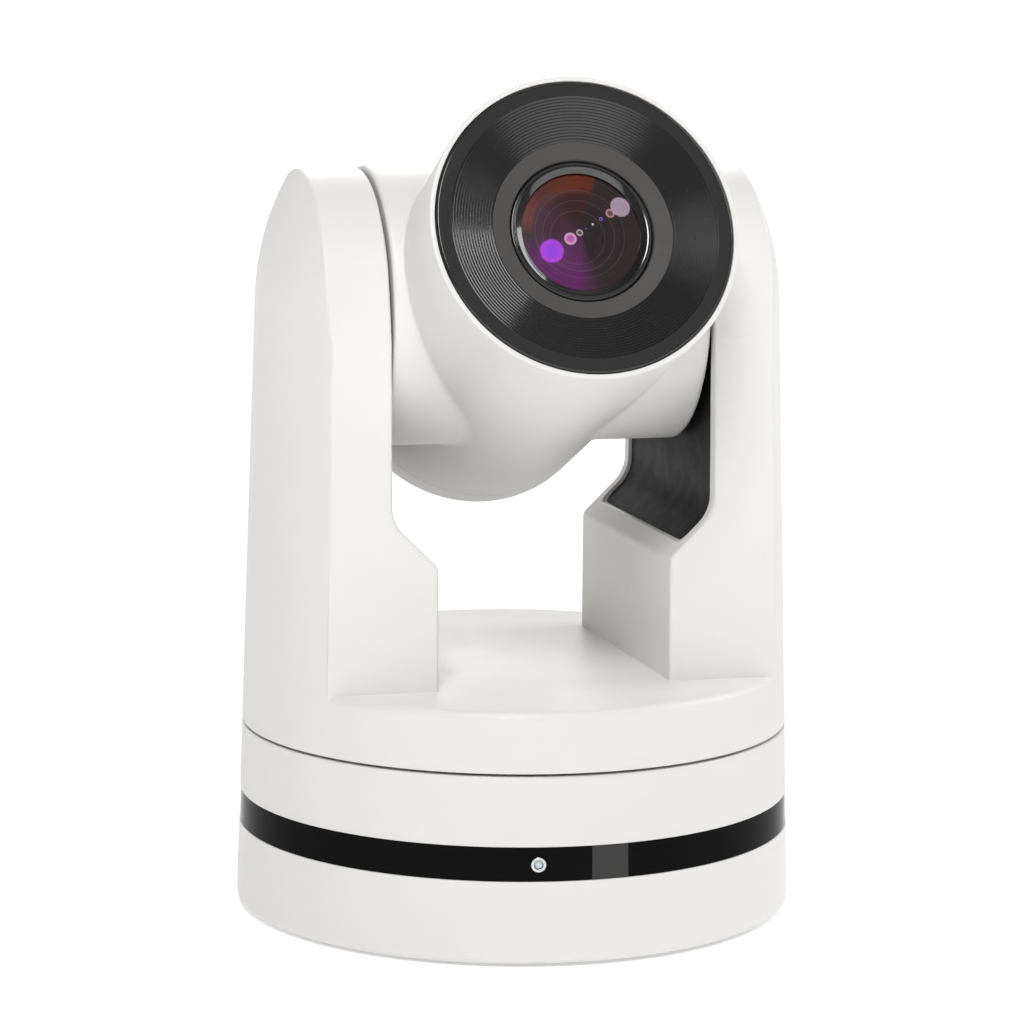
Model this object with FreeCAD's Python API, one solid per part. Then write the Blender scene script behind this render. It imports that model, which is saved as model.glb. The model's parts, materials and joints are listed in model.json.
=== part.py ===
import FreeCAD, Part
import math
import os

from FreeCAD import Matrix, Vector

# Pan-tilt-zoom camera for a meeting room, in millimetres.
# +Z is up, the origin is on the pan axis at the level of the feet, and the base's front faces -Y.
# Three assemblies turn on each other: the base, the yoke (pan, about Z) and the head (tilt).

# Rest pose
PAN_REST = 10.24
TILT_REST = 24.0

# Base and turntable share one slightly conical outline
FOOT_HEIGHT = 1.0
BASE_RADIUS = 72.5
WALL_LEAN = 0.0307
WALL = 2.5
BASE_EDGE_ROUND = 1.5
BAND_BOTTOM = 21.75
BAND_TOP = 30.4
BAND_THICKNESS = 1.2
BAND_RECESS = 0.12
BAND_END_ANGLE = 142.0
SEAM_HEIGHT = 48.1
SEAM_GAP = 0.7
SEAM_EDGE_ROUND = 0.4
TURNTABLE_TOP = 63.8
TURNTABLE_EDGE_ROUND = 2.0
FIT = 0.05
GAP = 0.3

# Bottom plate, with its feet, screws and posts
FOOT_ANGLES = (45, 135, 225, 315)
FOOT_CIRCLE = 56.0
FOOT_RADIUS = 6.5
TRIPOD_HOLE_RADIUS = 3.175
TRIPOD_HOLE_DEPTH = 10.0
TRIPOD_BOSS_RADIUS = 9.0
BRACKET_HOLE_RADIUS = 1.6
BRACKET_SPACING = 60.0
BOTTOM_PLATE_THICKNESS = 2.5
BOARD_HEIGHT = 14.0
BOARD_POSTS = ((-45, 28), (45, 28), (-38, -38), (38, -38))
FRAME_POST_ANGLES = (55, 125, 235, 305)
FRAME_POST_CIRCLE = 63.8
SCREW_ANGLES = (20, 80, 140, 220, 280, 340)
SCREW_CIRCLE = 65.0
SCREW_BOSS_RADIUS = 5.2
SCREW_BOSS_TOP = 13.8
SCREW_HOLE_RADIUS = 1.55
BOARD_THICKNESS = 1.6

# Front of the band: status light at the middle, receiver window to the right of it
LIGHT_HOLE_RADIUS = 1.9
LIGHT_RADIUS = 1.1
WINDOW_START_ANGLE = 10.7
WINDOW_END_ANGLE = 18.4
RECEIVER_ANGLE = 14.5

# Yoke arms, in the yoke's own directions (X across the arms, -Y to the front)
TILT_HEIGHT = 156.8
ARM_TOP_RADIUS = 35.1
ARM_FRONT = 39.4
ARM_FRONT_LEAN = 0.0268
ARM_REAR = 40.5
CROWN_START = 0.35
SHOULDER_DROP = 6.0
REAR_BEND_DROP = 38.0
ARM_BLOCK_INSIDE = 30.2
ARM_INSIDE = 41.9
CHAMFER_LOW = 95.0
CHAMFER_HIGH = 106.4
CHAMFER_HOLLOW_ROUND = 10.0
CHAMFER_NOSE_ROUND = 2.5
ARM_CORNER_ROUND = 1.0
ARM_OUTER_ROUND = 0.8
COVER_RIM = 4.0
COVER_RECESS = 0.9
COVER_THICKNESS = 2.0
COVER_LOW = 98.4
COVER_CORNER_ROUND = 2.5

# Head, in its own directions: the tilt axis is X through (0, 0, 0) and the lens looks to -Y
DRUM_RADIUS = 35.8
DRUM_HALF_LENGTH = 41.0
DRUM_END_ROUND = 0.9
HEAD_WALL = 2.2
BARREL_DROP = -2.55
BARREL_FRONT = -66.4
BARREL_FRONT_RADIUS = 38.7
BARREL_REAR = 59.6
BARREL_REAR_RADIUS = 35.8
BARREL_REAR_ROUND = 6.5
REAR_CAP_SEAM = 47.0
SIDE_OPENING_RADIUS = 24.0
SEAM_HALF = 0.12
RING_RADIUS = 37.3
RING_BACK = -58.0
RING_SEAT_THICKNESS = 2.0
RIB_OUTER_RADIUS = 33.6
RIB_INNER_RADIUS = 22.5
RIB_COUNT = 15
RIB_HEIGHT = 0.32
CONE_INNER_RADIUS = 18.1
CONE_DEPTH = 3.4
RIM_OUTER_RADIUS = 18.0
GLASS_RADIUS = 15.2

# Pan drive
PAN_SHAFT_RADIUS = 17.0
PAN_SHAFT_BORE = 11.0
PAN_BEARING_RADIUS = 23.0
PAN_BEARING_LOW = 42.0
PAN_BEARING_HIGH = 48.5
PAN_FRAME_HEIGHT = 40.0
PAN_FRAME_RADIUS = 66.0
PAN_GEAR_TEETH = 100
PAN_PINION_TEETH = 16
PAN_GEAR_MODULE = 0.8
PAN_GEAR_HEIGHT = 50.0
PAN_GEAR_THICKNESS = 3.0
PAN_MOTOR_ANGLE = -35.0
PAN_MOTOR_RADIUS = 17.0
PAN_MOTOR_HEIGHT = 20.0
MOTOR_SHAFT_RADIUS = 1.5

# Yoke frame and tilt drive
PLATE_HEIGHT = 54.0
PLATE_THICKNESS = 2.0
PLATE_RADIUS = 58.0
UPRIGHT_X = 51.5
UPRIGHT_HALF_WIDTH = 20.0
TRUNNION_RADIUS = 6.0
TRUNNION_END = 56.5
TILT_BEARING_RADIUS = 9.5
TILT_GEAR_TEETH = 50
TILT_PINION_TEETH = 12
TILT_GEAR_MODULE = 0.8
TILT_GEAR_X = 46.5
TILT_GEAR_THICKNESS = 2.6
TILT_MOTOR_RADIUS = 11.0
TILT_MOTOR_LENGTH = 9.5

# Lens block inside the head
LENS_TUBE_RADIUS = 20.5
LENS_TUBE_BORE = 17.0
LENS_TUBE_FRONT = -55.5
LENS_TUBE_REAR = 0.0
BLOCK_HALF = 21.0
BLOCK_REAR = 26.0
GUIDE_ROD_RADIUS = 0.9
GUIDE_ROD_OFFSET = 14.2
CARRIAGE_RADIUS = 16.4
ZOOM_CARRIAGE = -36.0
FOCUS_CARRIAGE = -10.0
ZOOM_LENS_RADIUS = 10.0
FOCUS_LENS_RADIUS = 8.0

# Rear connector panel
PANEL_Y = 60.0
PANEL_HALF_WIDTH = 35.0
PANEL_BOTTOM = 6.5
PANEL_TOP = 42.0
PANEL_THICKNESS = 1.6
PANEL_GAP = 3.05
# Each connector's centre on the panel, as (x, z)
LAN = (-22.0, 17.0)
HDMI = (0.0, 15.0)
VIDEO_OUT = (22.0, 17.0)
SERIAL = ((-22.0, 33.0), (-8.0, 33.0))
AUDIO = (5.0, 33.0)
POWER = (21.0, 33.0)
SOCKET_FACE = PANEL_Y - 1.0
SOCKET_BACK = PANEL_Y - 17.0

X_AXIS = Vector(1, 0, 0)
Y_AXIS = Vector(0, 1, 0)
Z_AXIS = Vector(0, 0, 1)
ORIGIN = Vector(0, 0, 0)


# ---- shared shapes ----

def outer_radius(height):
    """Radius of the conical outline of base, turntable and arms at a height."""
    return BASE_RADIUS - WALL_LEAN * (height - FOOT_HEIGHT)


def frustum(low, high, inset):
    """The conical outline between two heights, moved inwards by inset."""
    return Part.makeCone(outer_radius(low) - inset, outer_radius(high) - inset,
                         high - low, Vector(0, 0, low))


def yoke_outline(low, inset):
    """The outline of turntable and arms above a height: the cone, closed by a dome about the tilt axis."""
    lean = math.atan(WALL_LEAN)
    radius = (outer_radius(TILT_HEIGHT) - inset) * math.cos(lean)
    foot = Vector(0, inset - outer_radius(low), low)
    shoulder = Vector(0, -radius * math.cos(lean), TILT_HEIGHT + radius * math.sin(lean))
    middle = Vector(0, -radius * math.cos(math.pi / 4), TILT_HEIGHT + radius * math.sin(math.pi / 4))
    crown = Vector(0, 0, TILT_HEIGHT + radius)
    centre = Vector(0, 0, low)
    edges = [Part.makeLine(centre, foot), Part.makeLine(foot, shoulder),
             Part.Arc(shoulder, middle, crown).toShape(), Part.makeLine(crown, centre)]
    return Part.Face(Part.Wire(edges)).revolve(ORIGIN, Z_AXIS, 360)


def box(low, high):
    """A box from its low corner to its high corner."""
    size = [high[i] - low[i] for i in range(3)]
    return Part.makeBox(size[0], size[1], size[2], Vector(*low))


def rod(radius, start, end):
    """A round rod between two points."""
    start = Vector(*start)
    direction = Vector(*end) - start
    return Part.makeCylinder(radius, direction.Length, start, direction)


def ring(outer, inner, start, end):
    """A round tube between two points."""
    return rod(outer, start, end).cut(rod(inner, start, end))


def polygon_face(points):
    """A flat face inside a closed outline of points."""
    corners = [Vector(*point) for point in points]
    return Part.Face(Part.makePolygon(corners + [corners[0]]))


def lathe_y(profile, drop=0.0):
    """Turns an outline of (radius, y) points about a line along Y, at height drop."""
    face = polygon_face([(radius, y, drop) for radius, y in profile])
    return face.revolve(Vector(0, 0, drop), Y_AXIS, 360)


def join(shapes):
    """One solid made of several that touch or overlap."""
    result = shapes[0]
    for shape in shapes[1:]:
        result = result.fuse(shape)
    return result.removeSplitter()


def largest_solid(shape):
    """The biggest of a shape's separate solids."""
    return max(shape.Solids, key=lambda solid: solid.Volume)


def mirror_x(shape):
    """The same shape on the other side of the YZ plane."""
    return shape.mirror(ORIGIN, X_AXIS)


def edges_where(shape, test):
    """The edges whose midpoint passes a test."""
    chosen = []
    for edge in shape.Edges:
        middle = edge.valueAt(0.5 * (edge.FirstParameter + edge.LastParameter))
        if test(middle, edge):
            chosen.append(edge)
    return chosen


def in_yoke(shape):
    """Moves a shape from the yoke's own directions to its rest place."""
    placed = shape.copy()
    placed.rotate(ORIGIN, Z_AXIS, PAN_REST)
    return placed


def in_head(shape):
    """Moves a shape from the head's own directions to its rest place."""
    placed = shape.copy()
    placed.rotate(ORIGIN, X_AXIS, -TILT_REST)
    placed.translate(Vector(0, 0, TILT_HEIGHT))
    return in_yoke(placed)


def on_circle(radius, angle, height=0.0):
    """A point at an angle from the front, positive towards +X."""
    turn = math.radians(angle)
    return (radius * math.sin(turn), -radius * math.cos(turn), height)


def turned(shape, angle):
    """A shape turned about the pan axis."""
    copy = shape.copy()
    copy.rotate(ORIGIN, Z_AXIS, angle)
    return copy


def involute_gear(teeth, module, thickness, bore, first_tooth):
    """A spur gear on +Z with one tooth centred at the angle first_tooth, in degrees."""
    pressure = math.radians(20.0)
    pitch = 0.5 * teeth * module
    base = pitch * math.cos(pressure)
    tip = pitch + 0.9 * module
    root = pitch - 1.25 * module
    backlash = 0.09 * module / pitch
    half_tooth = math.pi / (2 * teeth) + math.tan(pressure) - pressure - backlash
    steps = 4
    start = max(base, root)
    points = []
    for tooth in range(teeth):
        centre = math.radians(first_tooth) + 2 * math.pi * tooth / teeth
        flank = []
        for step in range(steps + 1):
            radius = start + (tip - start) * step / steps
            roll = math.acos(min(1.0, base / radius))
            flank.append((radius, half_tooth - (math.tan(roll) - roll)))
        flank = [(root, flank[0][1])] + flank if root < base else flank
        outline = [(r, -a) for r, a in flank] + [(r, a) for r, a in reversed(flank)]
        for radius, angle in outline:
            points.append((radius * math.cos(centre + angle), radius * math.sin(centre + angle), 0))
    gear = polygon_face(points).extrude(Vector(0, 0, thickness))
    return gear.cut(Part.makeCylinder(bore, thickness + 2, Vector(0, 0, -1)))


# ---- base ----

def rear_recess():
    """The space cut out of the base's back, down to the connector panel."""
    return box((-PANEL_HALF_WIDTH, PANEL_Y, PANEL_BOTTOM),
               (PANEL_HALF_WIDTH, BASE_RADIUS + 5, PANEL_TOP))


def recess_lining():
    """The walls that the base housing has around the rear recess."""
    return box((-PANEL_HALF_WIDTH - 2, PANEL_Y - 3, PANEL_BOTTOM - 2),
               (PANEL_HALF_WIDTH + 2, BASE_RADIUS + 5, PANEL_TOP + 2))


def band_groove(inset, clearance):
    """The ring-shaped space that the front band lies in, left open at the back."""
    low = BAND_BOTTOM + clearance
    high = BAND_TOP - clearance
    groove = frustum(low, high, inset).cut(frustum(low, high, BAND_THICKNESS + BAND_RECESS))
    side = 2 * BASE_RADIUS
    half = math.radians(180 - BAND_END_ANGLE + clearance)
    wedge = polygon_face([(0, 0, low), (side * math.sin(half), side * math.cos(half), low),
                          (-side * math.sin(half), side * math.cos(half), low)])
    return groove.cut(wedge.extrude(Vector(0, 0, high - low)))


def base_housing():
    top = SEAM_HEIGHT - 0.5 * SEAM_GAP
    outside = frustum(FOOT_HEIGHT, top, 0)
    bottom_edge = edges_where(outside, lambda p, e: abs(p.z - FOOT_HEIGHT) < 0.1)
    outside = outside.makeFillet(BASE_EDGE_ROUND, bottom_edge[:1])
    top_edge = edges_where(outside, lambda p, e: abs(p.z - top) < 0.1)
    outside = outside.makeFillet(SEAM_EDGE_ROUND, top_edge[:1])
    cavity = frustum(FOOT_HEIGHT - 1, top + 1, WALL)
    lining = recess_lining().common(outside)
    shell = outside.cut(cavity).fuse(lining)
    shell = shell.cut(rear_recess())
    panel_window = box((-PANEL_HALF_WIDTH + 2, PANEL_Y - 5, PANEL_BOTTOM + 2),
                       (PANEL_HALF_WIDTH - 2, PANEL_Y + 1, PANEL_TOP - 2))
    shell = shell.cut(panel_window)
    shell = shell.cut(band_groove(-1.0, 0.0))
    for feature in (led_hole(), receiver_hole(), security_slot()):
        shell = shell.cut(feature)
    return join([shell] + screw_bosses_in_base())


def screw_bosses_in_base():
    """Bosses on the housing's wall that the bottom plate's screws go into."""
    low = FOOT_HEIGHT + 0.5 + BOTTOM_PLATE_THICKNESS
    bosses = []
    for angle in SCREW_ANGLES:
        start = on_circle(SCREW_CIRCLE, angle, low)
        end = on_circle(SCREW_CIRCLE, angle, SCREW_BOSS_TOP)
        bosses.append(ring(SCREW_BOSS_RADIUS, SCREW_HOLE_RADIUS, start, end))
    return bosses


def led_hole():
    """The hole for the status light's bezel, through band and housing."""
    middle = 0.5 * (BAND_BOTTOM + BAND_TOP)
    return rod(LIGHT_HOLE_RADIUS, on_circle(62, 0, middle), on_circle(78, 0, middle))


def receiver_hole():
    """The window in the housing behind the remote-control receiver."""
    middle = 0.5 * (BAND_BOTTOM + BAND_TOP)
    slot = box((-3.4, -78, middle - 3.0), (3.4, -62, middle + 3.0))
    return turned(slot, RECEIVER_ANGLE)


def security_slot():
    """The keyhole slot for a cable lock, low on the base's left side."""
    return box((-80, -3.5, 10.0), (-60, 3.5, 13.0))


def receiver_wedge(clearance):
    """The sector of the band that the receiver's window takes up."""
    side = 2 * BASE_RADIUS
    start = on_circle(side, WINDOW_START_ANGLE + clearance, BAND_BOTTOM - 1)
    end = on_circle(side, WINDOW_END_ANGLE - clearance, BAND_BOTTOM - 1)
    height = BAND_TOP - BAND_BOTTOM + 2
    return polygon_face([(0, 0, BAND_BOTTOM - 1), start, end]).extrude(Vector(0, 0, height))


def front_band():
    band = band_groove(BAND_RECESS, 0.1)
    return band.cut(receiver_wedge(0)).cut(led_hole())


def receiver_window():
    return band_groove(BAND_RECESS, 0.1).common(receiver_wedge(0.06))


def led_bezel():
    middle = 0.5 * (BAND_BOTTOM + BAND_TOP)
    front = outer_radius(middle) + 0.3
    return ring(LIGHT_HOLE_RADIUS - 0.06, LIGHT_RADIUS + 0.05, on_circle(front, 0, middle),
                on_circle(front - 3.6, 0, middle))


def status_light():
    middle = 0.5 * (BAND_BOTTOM + BAND_TOP)
    front = outer_radius(middle) - 0.5
    body = rod(LIGHT_RADIUS, on_circle(front, 0, middle), on_circle(front - 5, 0, middle))
    dome = Part.makeSphere(LIGHT_RADIUS, Vector(*on_circle(front, 0, middle)))
    return join([body, dome])


def receiver_module():
    middle = 0.5 * (BAND_BOTTOM + BAND_TOP)
    case = box((-3.2, -69.0, middle - 2.8), (3.2, -64.0, middle + 2.8))
    return turned(case, RECEIVER_ANGLE)


def bracket_holes():
    half = 0.5 * BRACKET_SPACING
    return [(x, y) for x in (-half, half) for y in (-half, half)]


def bottom_plate():
    """Die-cast bottom: tripod socket, bracket holes, air slots, and posts for board and pan frame."""
    low = FOOT_HEIGHT + 0.5
    plate = rod(outer_radius(low) - WALL - 0.3, (0, 0, low), (0, 0, low + BOTTOM_PLATE_THICKNESS))
    plate = plate.fuse(rod(TRIPOD_BOSS_RADIUS, (0, 0, 0), (0, 0, TRIPOD_HOLE_DEPTH + 2)))
    plate = plate.cut(rod(TRIPOD_HOLE_RADIUS, (0, 0, -1), (0, 0, TRIPOD_HOLE_DEPTH)))
    for x, y in bracket_holes():
        plate = plate.fuse(rod(3.6, (x, y, low), (x, y, low + 6)))
        plate = plate.cut(rod(BRACKET_HOLE_RADIUS, (x, y, 0), (x, y, low + 6)))
    for angle in FOOT_ANGLES:
        plate = plate.cut(rod(FOOT_RADIUS + 0.1, on_circle(FOOT_CIRCLE, angle, 0),
                              on_circle(FOOT_CIRCLE, angle, low + 1)))
    for side in (-1, 1):
        for row in range(6):
            y = -15 + 6 * row
            x = side * 48
            plate = plate.cut(box((x - 8, y - 1, 0), (x + 8, y + 1, low + 5)))
    for angle in SCREW_ANGLES:
        plate = plate.cut(rod(1.7, on_circle(SCREW_CIRCLE, angle, 0),
                              on_circle(SCREW_CIRCLE, angle, low + 5)))
    plate = plate.cut(recess_lining())
    top = low + BOTTOM_PLATE_THICKNESS - 0.5
    posts = [rod(2.5, (x, y, top), (x, y, BOARD_HEIGHT)) for x, y in BOARD_POSTS]
    for angle in FRAME_POST_ANGLES:
        posts.append(rod(3.0, on_circle(FRAME_POST_CIRCLE, angle, top),
                         on_circle(FRAME_POST_CIRCLE, angle, PAN_FRAME_HEIGHT)))
    return join([plate] + posts)


def base_screws():
    """The screws that hold the bottom plate, each head under the plate."""
    low = FOOT_HEIGHT + 0.5
    screws = []
    for angle in SCREW_ANGLES:
        x, y, z = on_circle(SCREW_CIRCLE, angle, 0)
        head = rod(2.6, (x, y, low - 0.4), (x, y, low))
        shank = rod(1.5, (x, y, low), (x, y, low + 8))
        cross = box((x - 1.4, y - 0.25, low - 1), (x + 1.4, y + 0.25, low - 0.2))
        cross = cross.fuse(box((x - 0.25, y - 1.4, low - 1), (x + 0.25, y + 1.4, low - 0.2)))
        screws.append(head.fuse(shank).cut(cross))
    return Part.makeCompound(screws)


def rubber_feet():
    feet = []
    for angle in FOOT_ANGLES:
        x, y, z = on_circle(FOOT_CIRCLE, angle, 0)
        foot = Part.makeCone(FOOT_RADIUS - 0.5, FOOT_RADIUS, 0.6, Vector(x, y, 0))
        feet.append(foot.fuse(rod(FOOT_RADIUS, (x, y, 0.6), (x, y, FOOT_HEIGHT + 1.5))))
    return Part.makeCompound(feet)


def main_board():
    top = BOARD_HEIGHT + BOARD_THICKNESS
    board = rod(58.0, (0, 0, BOARD_HEIGHT), (0, 0, top))
    board = board.cut(box((-70, 42, 10), (70, 80, 20)))
    chips = [box((-22, -12, top), (-4, 6, top + 2.6)), box((6, -8, top), (20, 4, top + 1.8)),
             box((-40, 14, top), (-28, 24, top + 2.2))]
    for x in (26, 34, 42):
        chips.append(rod(2.6, (x, 18, top), (x, 18, top + 5.4)))
    return join([board] + chips)


def pan_frame():
    """Metal plate across the base that holds the pan bearing and motor."""
    low = PAN_FRAME_HEIGHT
    plate = rod(PAN_FRAME_RADIUS, (0, 0, low), (0, 0, low + 2))
    plate = plate.fuse(ring(PAN_BEARING_RADIUS + 3, PAN_BEARING_RADIUS, (0, 0, low),
                            (0, 0, PAN_BEARING_HIGH - 1.5)))
    plate = plate.cut(rod(PAN_BEARING_RADIUS - 2.0, (0, 0, low - 1), (0, 0, low + 3)))
    plate = plate.cut(box((-80, PANEL_Y - 6, low - 1), (80, 90, low + 3)))
    motor = pan_motor_centre()
    plate = plate.cut(rod(9.0, (motor[0], motor[1], low - 1), (motor[0], motor[1], low + 3)))
    for angle in (70, 160, 250):
        window = rod(11.0, on_circle(46, angle, low - 1), on_circle(46, angle, low + 3))
        plate = plate.cut(window)
    return plate


def pan_bearing():
    """Thin ball bearing, as its two races with the balls between them closed in."""
    low = (0, 0, PAN_BEARING_LOW)
    high = (0, 0, PAN_BEARING_HIGH)
    bearing = ring(PAN_BEARING_RADIUS, PAN_SHAFT_RADIUS + FIT, low, high)
    groove = ring(20.6, 19.4, (0, 0, PAN_BEARING_HIGH - 0.6), (0, 0, PAN_BEARING_HIGH + 1))
    return bearing.cut(groove)


def pan_motor_centre():
    distance = 0.5 * PAN_GEAR_MODULE * (PAN_GEAR_TEETH + PAN_PINION_TEETH)
    return on_circle(distance, PAN_MOTOR_ANGLE)


def pan_motor():
    x, y, z = pan_motor_centre()
    high = PAN_FRAME_HEIGHT
    body = rod(PAN_MOTOR_RADIUS, (x, y, high - PAN_MOTOR_HEIGHT), (x, y, high))
    body = body.fuse(rod(5.0, (x, y, high), (x, y, high + 2)))
    lug = box((x - 21, y - 3.5, high - 1), (x + 21, y + 3.5, high))
    body = join([body, lug])
    return body.cut(rod(MOTOR_SHAFT_RADIUS + FIT, (x, y, high - 8), (x, y, high + 3)))


def pan_pinion():
    """Motor shaft and its pinion, in mesh with the pan gear."""
    x, y, z = pan_motor_centre()
    mesh_angle = math.degrees(math.atan2(-y, -x))
    first = mesh_angle + 180.0 / PAN_PINION_TEETH
    gear = involute_gear(PAN_PINION_TEETH, PAN_GEAR_MODULE, PAN_GEAR_THICKNESS + 1, 0.5, first)
    gear.translate(Vector(x, y, PAN_GEAR_HEIGHT - 0.5))
    low = PAN_FRAME_HEIGHT - 7
    shaft = rod(MOTOR_SHAFT_RADIUS, (x, y, low), (x, y, PAN_GEAR_HEIGHT + PAN_GEAR_THICKNESS + 0.4))
    return join([gear, shaft])


def io_panel():
    """Metal panel behind the recess, with an opening for each connector."""
    front = PANEL_Y - PANEL_GAP
    panel = box((-PANEL_HALF_WIDTH + GAP, front - PANEL_THICKNESS, PANEL_BOTTOM - 1.7),
                (PANEL_HALF_WIDTH - GAP, front, PANEL_TOP + 1.7))
    for opening in connector_openings():
        panel = panel.cut(opening)
    return panel


def connector_openings():
    """The panel's cut-outs, a little larger than each connector."""
    y0 = PANEL_Y - 10
    y1 = PANEL_Y
    cuts = [box((LAN[0] - 8.2, y0, LAN[1] - 7.0), (LAN[0] + 8.2, y1, LAN[1] + 7.0)),
            box((HDMI[0] - 8.2, y0, HDMI[1] - 3.8), (HDMI[0] + 8.2, y1, HDMI[1] + 3.8))]
    squares = [(VIDEO_OUT, 6.5), (AUDIO, 4.2), (POWER, 5.2), (SERIAL[0], 5.7), (SERIAL[1], 5.7)]
    for (x, z), half in squares:
        cuts.append(box((x - half, y0, z - half), (x + half, y1, z + half)))
    return cuts


def lan_socket():
    """Network socket: a shielded box with eight spring contacts over its mouth."""
    x, z = LAN
    case = box((x - 8.0, SOCKET_BACK, z - 6.8), (x + 8.0, SOCKET_FACE, z + 6.8))
    mouth = box((x - 6.0, SOCKET_FACE - 13, z - 4.2), (x + 6.0, SOCKET_FACE + 1, z + 3.0))
    latch = box((x - 3.2, SOCKET_FACE - 13, z - 5.8), (x + 3.2, SOCKET_FACE + 1, z - 4.1))
    return case.cut(mouth).cut(latch)


def hdmi_socket():
    """Digital video socket: a metal shell around a contact tongue."""
    x, z = HDMI
    case = box((x - 7.9, SOCKET_BACK + 3, z - 3.5), (x + 7.9, SOCKET_FACE, z + 3.5))
    mouth = polygon_face([(x - 7.1, SOCKET_FACE - 9, z + 2.7), (x + 7.1, SOCKET_FACE - 9, z + 2.7),
                          (x + 7.1, SOCKET_FACE - 9, z - 1.0), (x + 5.2, SOCKET_FACE - 9, z - 2.6),
                          (x - 5.2, SOCKET_FACE - 9, z - 2.6), (x - 7.1, SOCKET_FACE - 9, z - 1.0)])
    tongue = box((x - 5.6, SOCKET_FACE - 10, z + 1.5), (x + 5.6, SOCKET_FACE - 1, z + 2.2))
    return join([case.cut(mouth.extrude(Vector(0, 12, 0))), tongue])


def video_out():
    """Coaxial bayonet connector: a threaded barrel with two lugs and a centre pin."""
    x, z = VIDEO_OUT
    flange = box((x - 6.3, SOCKET_BACK + 3, z - 6.3), (x + 6.3, SOCKET_FACE - 2.2, z + 6.3))
    barrel = rod(4.8, (x, SOCKET_FACE - 4, z), (x, SOCKET_FACE + 7.5, z))
    lugs = rod(0.9, (x, SOCKET_FACE + 4, z - 5.6), (x, SOCKET_FACE + 4, z + 5.6))
    bore = rod(3.6, (x, SOCKET_FACE - 2, z), (x, SOCKET_FACE + 9, z))
    sleeve = ring(2.1, 0.5, (x, SOCKET_FACE - 3, z), (x, SOCKET_FACE + 4, z))
    return join([join([flange, barrel, lugs]).cut(bore), sleeve])


def serial_sockets():
    """Two round control sockets, each with a key and pin holes in its face."""
    sockets = []
    for x, z in SERIAL:
        case = rod(5.5, (x, SOCKET_BACK + 4, z), (x, SOCKET_FACE, z))
        mouth = rod(4.6, (x, SOCKET_FACE - 6, z), (x, SOCKET_FACE + 1, z))
        case = case.cut(mouth)
        for pin in range(8):
            turn = 2 * math.pi * (pin + 0.5) / 8
            px = x + 2.9 * math.cos(turn)
            pz = z + 2.9 * math.sin(turn)
            case = case.cut(rod(0.45, (px, SOCKET_FACE - 10, pz), (px, SOCKET_FACE - 5, pz)))
        sockets.append(case)
    return Part.makeCompound(sockets)


def audio_socket():
    x, z = AUDIO
    nut = rod(3.8, (x, SOCKET_FACE - 2, z), (x, SOCKET_FACE, z))
    case = box((x - 4, SOCKET_BACK, z - 4), (x + 4, SOCKET_FACE - 2, z + 4))
    bore = rod(1.8, (x, SOCKET_FACE - 14, z), (x, SOCKET_FACE + 1, z))
    return join([nut, case]).cut(bore)


def power_socket():
    x, z = POWER
    case = box((x - 5, SOCKET_BACK + 3, z - 5), (x + 5, SOCKET_FACE, z + 5))
    bore = rod(3.0, (x, SOCKET_FACE - 9, z), (x, SOCKET_FACE + 1, z))
    pin = rod(1.0, (x, SOCKET_FACE - 10, z), (x, SOCKET_FACE - 1, z))
    return join([case.cut(bore), pin])


# ---- yoke ----

def side_profile(inset, low):
    """The arms' outline seen from the side, moved inwards by inset, as a face at x = 0."""
    top = TILT_HEIGHT
    radius = ARM_TOP_RADIUS - inset
    front_low = -(ARM_FRONT - inset) + ARM_FRONT_LEAN * (low - TURNTABLE_TOP)
    shift_front = ARM_FRONT - inset - ARM_FRONT_LEAN * (top - TURNTABLE_TOP)
    bend = top + CROWN_START * radius
    rear_bend = TILT_HEIGHT - REAR_BEND_DROP
    front_top = (-math.sqrt(radius ** 2 - (bend - top) ** 2), bend)
    rear_top = (-front_top[0], bend)
    crown = (0.0, top + radius)
    shoulder_start = Vector(0, -shift_front, top - SHOULDER_DROP)
    shoulder_side = -(radius + 0.12 * (shift_front - radius)) + 0.25
    front = Part.makeLine(Vector(0, front_low, low), shoulder_start)
    shoulder = Part.Arc(shoulder_start, Vector(0, shoulder_side, top + 4),
                        Vector(0, front_top[0], front_top[1])).toShape()
    arch = Part.Arc(Vector(0, *front_top), Vector(0, *crown), Vector(0, *rear_top)).toShape()
    rear = Part.BezierCurve()
    rear.setPoles([Vector(0, *rear_top), Vector(0, rear_top[0] + 2.6, bend - 7),
                   Vector(0, ARM_REAR - inset, rear_bend + 25), Vector(0, ARM_REAR - inset, rear_bend)])
    back = Part.makeLine(Vector(0, ARM_REAR - inset, rear_bend), Vector(0, ARM_REAR - inset, low))
    foot = Part.makeLine(Vector(0, ARM_REAR - inset, low), Vector(0, front_low, low))
    return Part.Face(Part.Wire([front, shoulder, arch, rear.toShape(), back, foot]))


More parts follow.
